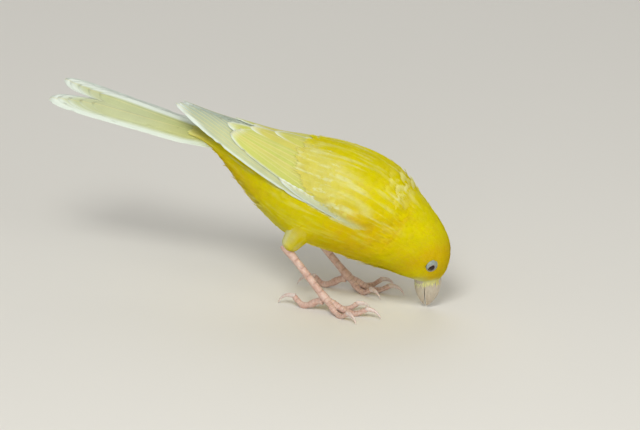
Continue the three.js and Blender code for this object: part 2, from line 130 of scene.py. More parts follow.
# %% [markdown]
# ## The body as a surface to grow feathers on
# Each cross-section of the body spans from the line of the back to the line of the belly. A smooth
# curve through the sections gives a surface with two coordinates: how far back along the body, and
# the angle round it. Feathers lie along the first, so everything that grows asks this surface.

# %% The body's cross-sections
# Name, back x and z, belly x and z, half the width, and the turn to the left in degrees.
BODY = [
    ("face", 30.2, 9.4, 22.4, 9.3, 3.5, 14),
    ("lores", 32.0, 12.6, 19.6, 10.2, 5.5, 14),
    ("eye", 32.9, 17.0, 17.0, 11.0, 7.1, 14),
    ("ear", 32.2, 22.4, 13.8, 12.4, 8.6, 12),
    ("nape", 28.4, 29.6, 8.8, 13.8, 10.6, 8),
    ("shoulder", 21.2, 38.2, 1.4, 15.6, 13.0, 2),
    ("breast", 9.4, 45.2, -7.8, 17.6, 14.4, 0),
    ("belly", -4.0, 48.2, -17.6, 21.4, 13.8, 0),
    ("vent", -15.5, 48.5, -24.4, 27.2, 11.0, 0),
    ("rump", -25.0, 48.0, -30.0, 32.8, 7.8, 0),
    ("coverts", -33.5, 47.8, -35.0, 39.2, 5.6, 0),
    ("root", -41.0, 47.9, -40.6, 44.8, 4.2, 0),
    ("end", -47.2, 48.7, -46.6, 46.7, 3.2, 0),
]
TURN_PIVOT_X = 12
HEAD_TURN = 14
SECTIONS = np.array([row[1:] for row in BODY], float)
BODY_END = len(BODY) - 1
TAIL_SLOPE = math.radians(11.4)
BEYOND = 6.0  # millimetres for each step past either end


def spline(values, t):
    """Catmull-Rom through the rows of a table, at places from 0 to the last row."""
    values = np.asarray(values, float)
    last = len(values) - 1
    t = np.asarray(t, float)
    i = np.clip(np.floor(t).astype(int), 0, last - 1)
    f = t - i
    if values.ndim > 1:
        f = f[..., None]
    a, b, c, d = (values[np.clip(i + k, 0, last)] for k in (-1, 0, 1, 2))
    return b + 0.5 * f * (c - a + f * (2 * a - 5 * b + 4 * c - d + f * (3 * (b - c) + d - a)))


def turned(points, degrees):
    """Points turned about the neck's upright line."""
    angle = np.radians(degrees)
    ahead = points[..., 0] - TURN_PIVOT_X
    side = points[..., 1]
    x = TURN_PIVOT_X + ahead * np.cos(angle) - side * np.sin(angle)
    y = ahead * np.sin(angle) + side * np.cos(angle)
    return np.stack([x, y, points[..., 2]], -1)


def body_point(t, angle, grown=0.0):
    """The body's surface at cross-section t, at an angle from its left side up over the back."""
    t, angle, grown = np.broadcast_arrays(np.asarray(t, float), angle, grown)
    inside = np.clip(t, 0, BODY_END)
    back_x, back_z, belly_x, belly_z, wide, turn = np.moveaxis(spline(SECTIONS, inside), -1, 0)
    high_x, high_z = (back_x - belly_x) / 2, (back_z - belly_z) / 2
    deep = np.hypot(high_x, high_z)
    rise = (deep + grown) * np.sin(angle) / deep
    x = (back_x + belly_x) / 2 + high_x * rise
    z = (back_z + belly_z) / 2 + high_z * rise
    y = (wide + grown) * np.cos(angle)
    points = turned(np.stack([x, y, z], -1), turn)
    behind = (np.maximum(t - BODY_END, 0) * BEYOND)[..., None]
    ahead = (np.maximum(-t, 0) * BEYOND)[..., None]
    points = points + behind * np.array([-math.cos(TAIL_SLOPE), 0, math.sin(TAIL_SLOPE)])
    return points + ahead * np.array([0, 0, -1.0])


def head_place(forward, side, up):
    return turned(np.stack(np.broadcast_arrays(TURN_PIVOT_X + forward, side, up), -1), HEAD_TURN)


print("length of the body's back:", round(float(np.linalg.norm(
    np.diff(body_point(np.linspace(0, BODY_END, 200), math.pi / 2), axis=0), axis=1).sum()), 1), "mm")

# %% [markdown]
# ## Modelling helpers
# Many pieces here start as a cylinder that is cut into rings. Its vertices are then drawn to the
# surface that the piece should have. The same helper makes the body, the thighs, the bill and the
# claws, and each only says where a ring's point belongs.

# %% Start and finish a piece


def start_alone():
    """Nothing stays selected, as an operator acts on all that is."""
    if bpy.context.object and bpy.context.object.mode != "OBJECT":
        bpy.ops.object.mode_set(mode="OBJECT")
    bpy.ops.object.select_all(action="DESELECT")


def take(piece):
    start_alone()
    bpy.context.view_layer.objects.active = piece
    piece.select_set(True)


def coordinates(mesh):
    found = np.empty(len(mesh.vertices) * 3)
    mesh.vertices.foreach_get("co", found)
    return found.reshape(-1, 3)


def set_coordinates(mesh, points):
    mesh.vertices.foreach_set("co", np.ascontiguousarray(points, float).ravel())
    mesh.update()


def normals_outwards(piece):
    take(piece)
    bpy.ops.object.mode_set(mode="EDIT")
    bpy.ops.mesh.select_all(action="SELECT")
    bpy.ops.mesh.normals_make_consistent(inside=False)
    bpy.ops.object.mode_set(mode="OBJECT")


def join(parts):
    """The parts as one object, which keeps the first one's name."""
    start_alone()
    for part in parts:
        part.select_set(True)
    bpy.context.view_layer.objects.active = parts[0]
    bpy.ops.object.join()
    return parts[0]


def apply_modifier(piece, kind, **settings):
    take(piece)
    modifier = piece.modifiers.new(kind.lower(), kind)
    for key, value in settings.items():
        setattr(modifier, key, value)
    bpy.ops.object.modifier_apply(modifier=modifier.name)


def wrapped_tube(name, around, rings, place):
    """A cylinder cut into rings, whose points go to place(s, angle) in the bird's millimetres."""
    start_alone()
    bpy.ops.mesh.primitive_cylinder_add(vertices=around, radius=1, depth=1, end_fill_type="TRIFAN")
    piece = bpy.context.active_object
    piece.name = name
    piece.data.name = name
    bpy.ops.object.mode_set(mode="EDIT")
    bpy.ops.mesh.select_mode(type="EDGE")
    bpy.ops.mesh.select_all(action="DESELECT")
    shape = bmesh.from_edit_mesh(piece.data)
    for edge in shape.edges:
        low, high = sorted(v.co.z for v in edge.verts)
        edge.select_set(high - low > 0.5)
    bmesh.update_edit_mesh(piece.data)
    bpy.ops.mesh.subdivide(number_cuts=rings - 2)
    bpy.ops.mesh.select_mode(type="VERT")
    bpy.ops.object.mode_set(mode="OBJECT")
    plain = coordinates(piece.data)
    s = plain[:, 2] + 0.5
    middles = np.hypot(plain[:, 0], plain[:, 1]) < 0.5
    points = place(s, np.arctan2(plain[:, 1], plain[:, 0]))
    for index in np.flatnonzero(middles):
        ring = ~middles & (abs(s - s[index]) < 1e-4)
        points[index] = points[ring].mean(axis=0)
    set_coordinates(piece.data, metres(points))
    normals_outwards(piece)
    return piece


def set_mark(mesh, name, values):
    """A number for each vertex, which a material can read by its name."""
    layer = mesh.attributes.new(name, "FLOAT", "POINT")
    layer.data.foreach_set("value", np.broadcast_to(values, len(mesh.vertices)).astype(float))


def finish_piece(piece, slot, material, *nodes):
    """Smooth shading, the material, and the frame's body and solids that it stands for. The slot is not
    used.
    """
    take(piece)
    bpy.ops.object.shade_smooth()
    piece.data.materials.clear()
    piece.data.materials.append(material)
    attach(piece, BODY_NAME)
    if nodes:
        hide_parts(*nodes)
    print(piece.name, "has", sum(len(p.vertices) - 2 for p in piece.data.polygons), "triangles")


print("helpers are ready")

# %% [markdown]
# ## Markings
# The bird is yellow all over, but no two places are the same yellow. The forehead, the cheeks, the
# breast and the parts under the tail are deeper, nearly orange. The feathers at the bill, the belly
# and the tail fade to a pale lemon, and pale streaks of two sizes are drawn out along the back. A
# faint olive dusk lies on the nape, partly its own tint and partly painted shade among the ruffled
# feathers there. One function gives these three marks, deep, pale and dusk, for any place on the
# body, and the skin and the coat both ask it.

# %% Marks of a place on the body


def soft_step(low, high, value):
    f = np.clip((np.asarray(value, float) - low) / (high - low), 0, 1)
    return f * f * (3 - 2 * f)


def hump(value, middle, width):
    """1 at the middle, a third of it one width away, and close to 0 at two."""
    return np.exp(-(((value - middle) / width) ** 2))


def blended(table, i, j, i_next, j_next, fi, fj):
    """A table's value, the shares fi and fj of the way to the next row and column."""
    low = table[i, j] * (1 - fj) + table[i, j_next] * fj
    high = table[i_next, j] * (1 - fj) + table[i_next, j_next] * fj
    return low * (1 - fi) + high * fi


# Chance numbers in rows along the body and columns round it, and the rows to a cross-section.
BROAD_STREAKS = np.random.default_rng(12).random((28, 64))
FINE_STREAKS = np.random.default_rng(13).random((37, 170))
BROAD_ROWS = 1.6
FINE_ROWS = 2.8
STREAK_STRENGTH = 0.6


def drawn_out(table, i, j):
    """Soft noise between the numbers of a table, from -1 to 1."""
    i0, j0 = np.floor(i).astype(int), np.floor(j).astype(int)
    fi, fj = soft_step(0, 1, i - i0), soft_step(0, 1, j - j0)
    i0, j0 = i0 % (table.shape[0] - 1), j0 % table.shape[1]
    return 2 * blended(table, i0, j0, i0 + 1, (j0 + 1) % table.shape[1], fi, fj) - 1


def streaks(t, angle):
    """Soft streaks of both sizes, drawn out along the body, from -1 to 1."""
    t, turn = np.asarray(t, float), np.asarray(angle, float) / (2 * math.pi)
    broad = drawn_out(BROAD_STREAKS, BROAD_ROWS * t, turn * BROAD_STREAKS.shape[1])
    fine = drawn_out(FINE_STREAKS, FINE_ROWS * t, turn * FINE_STREAKS.shape[1])
    return STREAK_STRENGTH * broad + STREAK_STRENGTH * fine


# Where along the body a mark is strongest, how far it reaches, and how strong it is.
CHEEK = (2.9, 0.8, 0.6)
BREAST = (5.1, 1.0, 0.8)
UNDER_TAIL = (9.6, 1.6, 0.75)
BELLY = (7.6, 1.0, 0.3)
# The nape's olive dusk is partly its own tint and partly painted shade among its ruffled feathers.
NAPE_OLIVE_AND_SHADE = (4.5, 0.4, 0.1)


def band(t, mark):
    middle, reach, strength = mark
    return strength * hump(t, middle, reach)


def body_marks(t, angle):
    """Deep, pale and dusk at a place on the body, each from 0 to 1."""
    up = np.sin(angle)
    side = np.abs(np.cos(angle))
    forehead = (1 - soft_step(2.2, 3.6, t)) * soft_step(-0.5, 0.7, up)
    cheek = band(t, CHEEK) * side
    breast = band(t, BREAST) * (1 - soft_step(0.1, 0.8, up))
    under = band(t, UNDER_TAIL) * (1 - soft_step(-0.6, 0.3, up))
    deep = np.clip(0.95 * forehead + cheek + breast + under, 0, 1)
    chin = 0.7 * (1 - soft_step(0.4, 1.6, t)) * (1 - soft_step(-0.6, 0.4, up))
    lore = 0.45 * (1 - soft_step(0.1, 0.75, t)) * (1 - 0.6 * soft_step(0.5, 0.9, up))
    belly = band(t, BELLY) * (1 - soft_step(-0.95, -0.5, up))
    tail = 0.45 * soft_step(10.3, 12.0, t)
    streak = streaks(t, angle)
    shown = soft_step(4.0, 5.4, t) * (0.25 + 0.75 * soft_step(-0.25, 0.35, up))
    drawn = 0.5 * np.clip(streak, 0, 1) ** 1.2 * shown
    pale = np.clip(np.maximum(chin, lore) + belly + tail + drawn, 0, 1)
    deep = np.clip(deep - 0.25 * streak, 0, 1)
    # Painted shade, with a little of the nape's own olive: a faint dusk over the top of the nape.
    dusk = band(t, NAPE_OLIVE_AND_SHADE) * soft_step(0.2, 0.8, up)
    return np.stack([deep * (1 - pale), pale, dusk], -1)


print("marks at the forehead:", body_marks(1.0, math.pi / 2).round(2))

# %% [markdown]
# ## Materials
# Feathers aren't glossy: their barbs scatter the light, some of it inside the coat, and leave it
# matt. One node group, Feather tone, turns the marks into colour for the coat, the long feathers and
# the skin, so the three always agree. It reads the marks as attributes, which the feathers carry, and
# it paints shade towards the root of each feather, where the feathers over it shade it.

# %% Colours


def colour(hexes):
    """A colour as it is seen, in the linear values that a shader wants."""
    seen = [int(hexes[i : i + 2], 16) / 255 for i in (0, 2, 4)]
    return (*[v / 12.92 if v <= 0.04045 else ((v + 0.055) / 1.055) ** 2.4 for v in seen], 1.0)


YELLOW = colour("E9DA00")
DEEP = colour("E4C000")
PALE = colour("EFF0AE")
DUSK = colour("B0A010")
print("the coat's yellow in linear light:", [round(v, 3) for v in YELLOW])

# %% The group that colours feathers


def attribute(tree, name):
    node = tree.nodes.new("ShaderNodeAttribute")
    node.attribute_name = name
    return node.outputs["Fac"]


def object_place(tree):
    return tree.nodes.new("ShaderNodeTexCoord").outputs["Object"]


def math_node(tree, operation, first, second=None, third=None, clamp=False):
    node = tree.nodes.new("ShaderNodeMath")
    node.operation = operation
    node.use_clamp = clamp
    for socket, value in zip(node.inputs, (first, second, third)):
        if value is None:
            continue
        if isinstance(value, (int, float)):
            socket.default_value = value
        else:
            tree.links.new(value, socket)
    return node.outputs[0]


def mix_colour(tree, share, first, second):
    node = tree.nodes.new("ShaderNodeMix")
    node.data_type = "RGBA"
    for name, value in (("Factor", share), ("A", first), ("B", second)):
        sockets = [s for s in node.inputs if s.name == name and s.enabled]
        if isinstance(value, (int, float, tuple)):
            sockets[0].default_value = value
        else:
            tree.links.new(value, sockets[0])
    return next(s for s in node.outputs if s.enabled)


def noise(tree, place, scale, detail=3.0, roughness=0.6):
    node = tree.nodes.new("ShaderNodeTexNoise")
    node.inputs["Scale"].default_value = scale
    node.inputs["Detail"].default_value = detail
    node.inputs["Roughness"].default_value = roughness
    tree.links.new(place, node.inputs["Vector"])
    return node.outputs["Fac"]


def ranged(tree, value, low, high, to_low, to_high):
    node = tree.nodes.new("ShaderNodeMapRange")
    node.inputs["From Min"].default_value = low
    node.inputs["From Max"].default_value = high
    node.inputs["To Min"].default_value = to_low
    node.inputs["To Max"].default_value = to_high
    tree.links.new(value, node.inputs["Value"])
    return node.outputs[0]


def feather_tone():
    group = bpy.data.node_groups.new("Feather tone", "ShaderNodeTree")
    sockets = group.interface
    for name, value in (("Yellow", YELLOW), ("Deep", DEEP), ("Pale", PALE), ("Dusk", DUSK)):
        made = sockets.new_socket(name=name, in_out="INPUT", socket_type="NodeSocketColor")
        made.default_value = value
    sockets.new_socket(name="Color", in_out="OUTPUT", socket_type="NodeSocketColor")
    sockets.new_socket(name="Fine", in_out="OUTPUT", socket_type="NodeSocketFloat")
    given = group.nodes.new("NodeGroupInput")
    result = group.nodes.new("NodeGroupOutput")
    place = object_place(group)
    patches = noise(group, place, 160.0, 2.0)
    fine = noise(group, place, 2600.0, 3.0)
    chance = attribute(group, "chance")
    tip = attribute(group, "tip")
    centred = math_node(group, "SUBTRACT", chance, 0.5)
    uneven = ranged(group, patches, 0.3, 0.7, 0.8, 1.2)
    deep = math_node(group, "MULTIPLY", attribute(group, "deep"), uneven)
    deep = math_node(group, "MULTIPLY_ADD", centred, 0.5, deep, clamp=True)
    tone = mix_colour(group, deep, given.outputs["Yellow"], given.outputs["Deep"])
    drift = math_node(group, "MULTIPLY_ADD", centred, 0.06, attribute(group, "pale"))
    tips = math_node(group, "MULTIPLY", math_node(group, "POWER", tip, 3.0), 0.02)
    tone = mix_colour(group, math_node(group, "ADD", drift, tips, clamp=True), tone,
                      given.outputs["Pale"])
    tone = mix_colour(group, attribute(group, "dusk"), tone, given.outputs["Dusk"])
    # Painted shade: every feather, the long ones too, is darker towards its root, where the feathers
    # over it shade it. The patches and the fine grain below only vary the tone at random.
    root = ranged(group, tip, 0.4, 0.95, 0.9, 1.0)
    root_shade_and_grain = math_node(group, "MULTIPLY", root, ranged(group, patches, 0.3, 0.7, 0.95, 1.04))
    root_shade_and_grain = math_node(group, "MULTIPLY", root_shade_and_grain, ranged(group, fine, 0.3, 0.7, 0.97, 1.03))
    bright = group.nodes.new("ShaderNodeVectorMath")
    bright.operation = "SCALE"
    group.links.new(tone, bright.inputs[0])
    group.links.new(root_shade_and_grain, bright.inputs["Scale"])
    group.links.new(bright.outputs[0], result.inputs["Color"])
    group.links.new(fine, result.inputs["Fine"])
    return group


FEATHER_TONE = feather_tone()


def new_material(name, roughness, **shader):
    """A material with its shader, and its constant values on the shader's own sockets."""
    material = bpy.data.materials.new(name)
    material.use_nodes = True
    tree = material.node_tree
    body = tree.nodes["Principled BSDF"]
    body.inputs["Roughness"].default_value = roughness
    for key, value in shader.items():
        body.inputs[key.replace("_", " ")].default_value = value
    return material, tree, body


def bump(tree, body, height, strength, distance):
    node = tree.nodes.new("ShaderNodeBump")
    node.inputs["Strength"].default_value = strength
    node.inputs["Distance"].default_value = distance
    tree.links.new(height, node.inputs["Height"])
    tree.links.new(node.outputs["Normal"], body.inputs["Normal"])


def soft_inside(body, weight, radius):
    """Light that enters and comes out again, with how far red, green and blue go in metres."""
    body.inputs["Subsurface Weight"].default_value = weight
    body.inputs["Subsurface Scale"].default_value = 1.0
    body.inputs["Subsurface Radius"].default_value = radius


def toned(name, roughness, sheen, **colours):
    """A feather material whose colour comes from the group."""
    material, tree, body = new_material(name, roughness, Sheen_Weight=sheen, Sheen_Roughness=0.5)
    group = tree.nodes.new("ShaderNodeGroup")
    group.node_tree = FEATHER_TONE
    for key, value in colours.items():
        group.inputs[key].default_value = value
    return material, tree, body, group


def plumage_material():
    material, tree, body, group = toned("plumage", 0.8, 0.0)
    body.inputs["Specular IOR Level"].default_value = 0.04
    soft_inside(body, 0.35, (0.0012, 0.001, 0.0003))
    tree.links.new(group.outputs["Color"], body.inputs["Base Color"])
    bump(tree, body, group.outputs["Fine"], 0.08, 0.00005)
    return material


def skin_material():
    material, tree, body, group = toned("skin", 0.8, 0.05)
    tree.links.new(group.outputs["Color"], body.inputs["Base Color"])
    bump(tree, body, group.outputs["Fine"], 0.4, 0.0002)
    return material


BARB_PITCH = 0.42  # millimetres between the rows of barbs that show
BARB_LEAN = 1.1  # how far a barb runs ahead for each step away from the shaft
VANE_WHITE = colour("DCE5DD")
SHAFT_TONE = colour("D9CE90")
BARB_SHADE = colour("A0945A")


def vane_material():
    """Long feathers: a pale edge, a shaft, and barbs that run out slantwise from it."""
    material, tree, body, group = toned("flight_feathers", 0.6, 0.03, Yellow=colour("BFC22C"),
                                        Pale=colour("BEC6A4"), Dusk=colour("91A2A2"))
    body.inputs["Specular IOR Level"].default_value = 0.2
    across = attribute(tree, "across_mm")
    along = attribute(tree, "along_mm")
    edge = attribute(tree, "edge")
    leaning = math_node(tree, "MULTIPLY_ADD", math_node(tree, "ABSOLUTE", across), BARB_LEAN, along)
    barbs = math_node(tree, "SINE", math_node(tree, "MULTIPLY", leaning, 2 * math.pi / BARB_PITCH))
    edge_tone = ranged(tree, edge, 0.3, 1.0, 0.0, 0.85)
    tone = mix_colour(tree, edge_tone, group.outputs["Color"], VANE_WHITE)
    shaft = ranged(tree, math_node(tree, "ABSOLUTE", across), 0.1, 0.24, 0.35, 0.0)
    tone = mix_colour(tree, shaft, tone, SHAFT_TONE)
    streak = ranged(tree, barbs, -1.0, 1.0, 0.0, 0.08)
    tone = mix_colour(tree, streak, tone, BARB_SHADE)
    tree.links.new(tone, body.inputs["Base Color"])
    height = math_node(tree, "MULTIPLY_ADD", barbs, 0.5, group.outputs["Fine"])
    bump(tree, body, height, 0.3, 0.00008)
    return material


PLUMAGE = plumage_material()
SKIN = skin_material()
VANES = vane_material()
print("feather materials:", PLUMAGE.name, SKIN.name, VANES.name)

# %% [markdown]
# ## The skin
# Under the feathers a canary is a small pink body, and the coat adds its round outline. The skin
# is one closed surface: a tube for the body, another for each thigh and a pad for each arm of the
# wing. A voxel remesh fuses them, and a smoothing takes the creases out, so that no seam shows.

# %% How deep the coat is
COAT_DEPTH = [0.3, 0.45, 0.6, 0.9, 1.2, 1.5, 1.6, 1.6, 1.6, 1.4, 1.1, 0.8, 0.5]  # each section's
SKIN_CLEARANCE = 0.15  # the skin lies this far under the roots of the feathers


def coat_depth(t):
    return spline(COAT_DEPTH, np.clip(t, 0, BODY_END))


def skin_tube(s, angle):
    t = s * BODY_END
    return body_point(t, angle, -coat_depth(t) - SKIN_CLEARANCE)


body_tube = wrapped_tube("skin", 44, 110, skin_tube)
print("the coat is up to", max(COAT_DEPTH), "mm deep")

# %% [markdown]
# The thigh is a short drumstick that comes out of the belly. Its line runs from the hip to the
# heel, the joint that people take for a knee. It has feathers down to the heel.

# %% Thighs
HIP = np.array([-6.0, 8.6, 28.5])
HEEL = np.array([-13.2, 9.2, 17.8])
FOOT = np.array([-1.2, 9.8, 4.2])
THIGH_RADII = [5.6, 4.6, 3.3, 2.4]
THIGH_FLATNESS = 0.92  # how thick it is from side to side, against from front to back
THIGH_COAT = 0.75
SIDES = (("left", 1), ("right", -1))
UPWARDS = np.array([0, 0, 1.0])


def sided(points, sign):
    return np.asarray(points, float) * np.array([1, sign, 1])


def unit(vectors):
    return vectors / np.linalg.norm(vectors, axis=-1, keepdims=True)


def thigh_point(s, angle, sign, grown=0.0):
    """The thigh's surface from the hip, s = 0, to the heel, s = 1, at an angle round it."""
    s, angle, grown = np.broadcast_arrays(np.asarray(s, float), angle, grown)
    hip, heel = sided(HIP, sign), sided(HEEL, sign)
    way = unit(heel - hip)
    side = unit(np.cross([1.0, 0, 0], way))
    up = np.cross(way, side)
    close = np.sqrt(np.clip(1 - (np.maximum(0, s - 0.86) / 0.145) ** 2, 0.0004, 1))
    radius = np.maximum(spline(THIGH_RADII, np.clip(s, 0, 1) * 3) * close + grown, 0.05)
    middle = hip + s[..., None] * (heel - hip)
    out = (radius * THIGH_FLATNESS * np.cos(angle))[..., None] * side
    return middle + out + (radius * np.sin(angle))[..., None] * up


skin_parts = [body_tube]
for side_name, sign in SIDES:
    skin_parts.append(wrapped_tube(
        "thigh_" + side_name, 24, 16,
        lambda s, angle, sign=sign: thigh_point(s, angle, sign, -THIGH_COAT)))
print("from hip to heel:", round(float(np.linalg.norm(HEEL - HIP)), 1), "mm")

# %% [markdown]
# The folded wing is a curved sheet that lies along the body. Its own coordinates are how far back
# from the bend of the wing, how far up from the lower edge, and how far out from the sheet. The
# arm inside the front part is a flat pad between the body and the first rows of small feathers.

# %% The wing's sheet
WING_STEP = 13  # millimetres between the rows of the table below
WING_SLOPE = math.radians(24)
# x, y and z of the lower edge, the sheet's lean there in degrees, and its own radius above it.
WING = np.array([
    (20.0, 11.4, 24.6, -6, 12.2),
    (8.2, 13.8, 30.0, -2, 14.2),
    (-3.5, 14.2, 35.8, 9, 14.8),
    (-15.0, 12.2, 41.8, 27, 13.6),
    (-27.0, 9.0, 47.0, 44, 12.4),
    (-39.0, 6.4, 51.9, 56, 12.0),
    (-51.2, 4.6, 56.4, 62, 12.0),
])


def wing_point(along, across, lift, sign):
    along, across, lift = np.broadcast_arrays(np.asarray(along, float), across, lift)
    x, y, z, lean, radius = np.moveaxis(spline(WING, along / WING_STEP), -1, 0)
    lean = np.radians(lean)
    angle = lean + across / radius
    out = radius * (np.cos(angle) - np.cos(lean)) + lift * np.cos(angle)
    up = radius * (np.sin(angle) - np.sin(lean)) + lift * np.sin(angle)
    x = x + up * math.sin(WING_SLOPE)
    z = z + up * math.cos(WING_SLOPE)
    return np.stack([x, sign * (y + out), z], -1)


ARM_MIDDLE = (17.0, 8.0, -1.9)  # along, across and out from the sheet
ARM_SIZE = (14.0, 7.2, 2.2)


def arm_pad(side_name, sign):
    start_alone()
    bpy.ops.mesh.primitive_uv_sphere_add(segments=32, ring_count=16, radius=1)
    pad = bpy.context.active_object
    pad.name = "arm_" + side_name
    points = coordinates(pad.data) * ARM_SIZE + ARM_MIDDLE
    set_coordinates(pad.data, metres(wing_point(*points.T, sign)))
    normals_outwards(pad)
    return pad


skin_parts += [arm_pad(*side) for side in SIDES]
print("parts of the skin:", len(skin_parts))

# %% [markdown]
# The front of the folded wing is padded with small feathers, and those of the neck and breast run
# over it without an edge. So the wing's dome is measured once, as a height over the body for every
# place on it. Feathers that grow over the wing then add this height to their own.

# %% How far the wing's dome stands out from the body
DOME_EDGE = -1.0  # the lift at the wing's lower edge, and how much it gains above that
DOME_GAIN = (0.6, 1.9)
DOME_LOW = (-1.2, 6.4)  # the lower edge, and how much higher it is at the bend of the wing
DOME_HIGH = 19


def dome_place(along, share):
    """A place on the wing's padded front: across from its lower to its upper edge, and its lift."""
    front = np.clip(1 - (along - 4.0) / 9, 0, 1) ** 1.6
    low = DOME_LOW[0] + DOME_LOW[1] * front
    across = low + (DOME_HIGH - low) * share
    rise = np.sqrt(np.clip((across - low) / 2.5, 0, 1))
    return across, DOME_EDGE + (DOME_GAIN[0] + DOME_GAIN[1] * soft_step(3, 12, along)) * rise


def body_place(points):
    """Cross-section, angle and height over the body of points beside the breast and behind."""
    t = np.linspace(3.5, BODY_END, 500)
    back_x, back_z, belly_x, belly_z, wide, _ = spline(SECTIONS, t).T
    high = np.stack([back_x - belly_x, back_z - belly_z], -1) / 2
    middle = np.stack([back_x + belly_x, back_z + belly_z], -1) / 2
    deep = np.linalg.norm(high, axis=1)
    up = high / deep[:, None]
    offset = points[:, None, [0, 2]] - middle
    off_plane = offset[..., 0] * up[:, 1] - offset[..., 1] * up[:, 0]
    row = np.abs(off_plane).argmin(axis=1)
    rise = (offset[np.arange(len(points)), row] * up[row]).sum(axis=1)
    deep, wide, side = deep[row], wide[row], points[:, 1]
    low, high = -0.8 * np.minimum(deep, wide), np.full(len(points), 15.0)
    for _ in range(40):
        grown = (low + high) / 2
        outside = (rise / (deep + grown)) ** 2 + (side / (wide + grown)) ** 2 > 1
        low, high = np.where(outside, grown, low), np.where(outside, high, grown)
    return t[row], np.arctan2(rise / (deep + grown), side / (wide + grown)), grown


def tree_of(points):
    """A search tree that finds the nearest of the points."""
    tree = KDTree(len(points))
    for i, point in enumerate(points):
        tree.insert(point, i)
    tree.balance()
    return tree


COVER_T = np.linspace(4, 10, 121)
COVER_ANGLE = np.linspace(-math.pi / 2, math.pi / 2, 91)
TABLE_METRIC = np.array([9.5, 14.0, 0.0])  # millimetres for a step of t and for a radian
WING_NEAR = 0.7  # a place within this many millimetres of the sheet lies under it


def wing_tables():
    """The wing's height over the body, and its place along and across, for the left side."""
    along, share = np.meshgrid(np.arange(4, 46, 0.35), np.linspace(0, 1, 50))
    across, lift = dome_place(np.minimum(along, 34), share)
    points = wing_point(along, across, lift, 1).reshape(-1, 3)
    t, angle, grown = body_place(points)
    tree = tree_of(np.stack([t, angle, 0 * t], -1) * TABLE_METRIC)
    shape = (len(COVER_T), len(COVER_ANGLE))
    height, ahead, aside = np.zeros(shape), np.full(shape, -1.0), np.zeros(shape)
    for i, t_here in enumerate(COVER_T):
        for j, angle_here in enumerate(COVER_ANGLE):
            _, found, away = tree.find(TABLE_METRIC * (t_here, angle_here, 0))
            if away < WING_NEAR:
                height[i, j] = max(grown[found], 0)
                ahead[i, j] = along.ravel()[found]
                aside[i, j] = across.ravel()[found]
    # Over the back the two wings meet at one height, which falls off towards the nape.
    top = COVER_ANGLE > 1.1
    flat = soft_step(1.0, 1.4, COVER_ANGLE)[None]
    height = height * (1 - flat) + height[:, top].mean(axis=1)[:, None] * flat
    nape = soft_step(0.3, 1.5, COVER_ANGLE)[None] * (1 - soft_step(4.8, 6.2, COVER_T))[:, None]
    height = height * (1 - 0.5 * nape)
    for _ in range(5):
        padded = np.pad(height, 1, mode="edge")
        height = sum(padded[i : i + shape[0], j : j + shape[1]] for i in range(3) for j in range(3)) / 9
    return height, ahead, aside


WING_HEIGHT, WING_ALONG, WING_ACROSS = wing_tables()
print("the wing stands out by up to", WING_HEIGHT.max().round(2), "mm")

# %% [markdown]
# Two more things change this height. The flank stands out where the thigh leaves it, and a shallow
# crease runs down between the neck and the bend of the wing. The coat in the crease is also painted
# a deeper yellow, as painted shade.

# %% The flank's bulge and the crease at the shoulder
BULGE = (1.1, 4.5)  # how far the flank stands out, and how wide that is
THIGH_COVERED = 2.2  # the thigh leaves the body where its line is no deeper than this
CREASE_DEEP = 1.6
CREASE_WIDE = 0.13  # in cross-sections
leg_line = HIP + np.linspace(0, 1, 60)[:, None] * (HEEL - HIP)
leg_t, leg_angle, leg_height = body_place(leg_line)
leg_exit = int(np.argmax(leg_height > -THIGH_COVERED))
bulge_away = np.hypot((COVER_T[:, None] - leg_t[leg_exit]) * TABLE_METRIC[0],
                      (COVER_ANGLE[None] - leg_angle[leg_exit]) * TABLE_METRIC[1])
WING_HEIGHT = WING_HEIGHT + BULGE[0] * hump(bulge_away, 0, BULGE[1])
crease_t = 4.42 + 0.25 * COVER_ANGLE[None]
crease_side = soft_step(-0.35, 0.1, COVER_ANGLE) * (1 - soft_step(0.9, 1.4, COVER_ANGLE))
SHOULDER_CREASE = hump(COVER_T[:, None], crease_t, CREASE_WIDE) * crease_side[None]
WING_HEIGHT = WING_HEIGHT - CREASE_DEEP * SHOULDER_CREASE
print("the thigh leaves the body at", leg_t[leg_exit].round(2), leg_angle[leg_exit].round(2))

# %% Ask the tables


def from_table(table, t, angle):
    """A value of a table at a place on either side of the body."""
    folded = np.arctan2(np.sin(angle), np.abs(np.cos(angle)))
    i = np.clip((t - COVER_T[0]) / (COVER_T[1] - COVER_T[0]), 0, len(COVER_T) - 1.001)
    j = (folded - COVER_ANGLE[0]) / (COVER_ANGLE[1] - COVER_ANGLE[0])
    j = np.clip(j, 0, len(COVER_ANGLE) - 1.001)
    i0, j0 = i.astype(int), j.astype(int)
    return blended(table, i0, j0, i0 + 1, j0 + 1, i - i0, j - j0)


# How far back from the bend of the wing the small feathers grow, for each place across it.
SOFT_WING_ACROSS = [-1, 1, 3, 5, 8, 12, 20]
SOFT_WING_END = [12, 14, 19, 23, 27, 31, 33]
SOFT_WING_RAGGED = 2.5


def hidden_by_wing(t, angle):
    """1 where only the long feathers of the wing lie over the body."""
    t, angle = np.broadcast_arrays(np.asarray(t, float), angle)
    along = from_table(WING_ALONG, t, angle)
    across = from_table(WING_ACROSS, t, angle)
    end = np.interp(across, SOFT_WING_ACROSS, SOFT_WING_END)
    end = end + SOFT_WING_RAGGED * streaks(2 * t, angle)
    return ((along > end) & (t < 9.6)).astype(float)


print("share of the table under the long feathers:", round(float(hidden_by_wing(
    COVER_T[:, None], COVER_ANGLE[None]).mean()), 2))

# %% [markdown]
# Now the parts are fused. The eyes need sockets, and a ball is cut out for each.

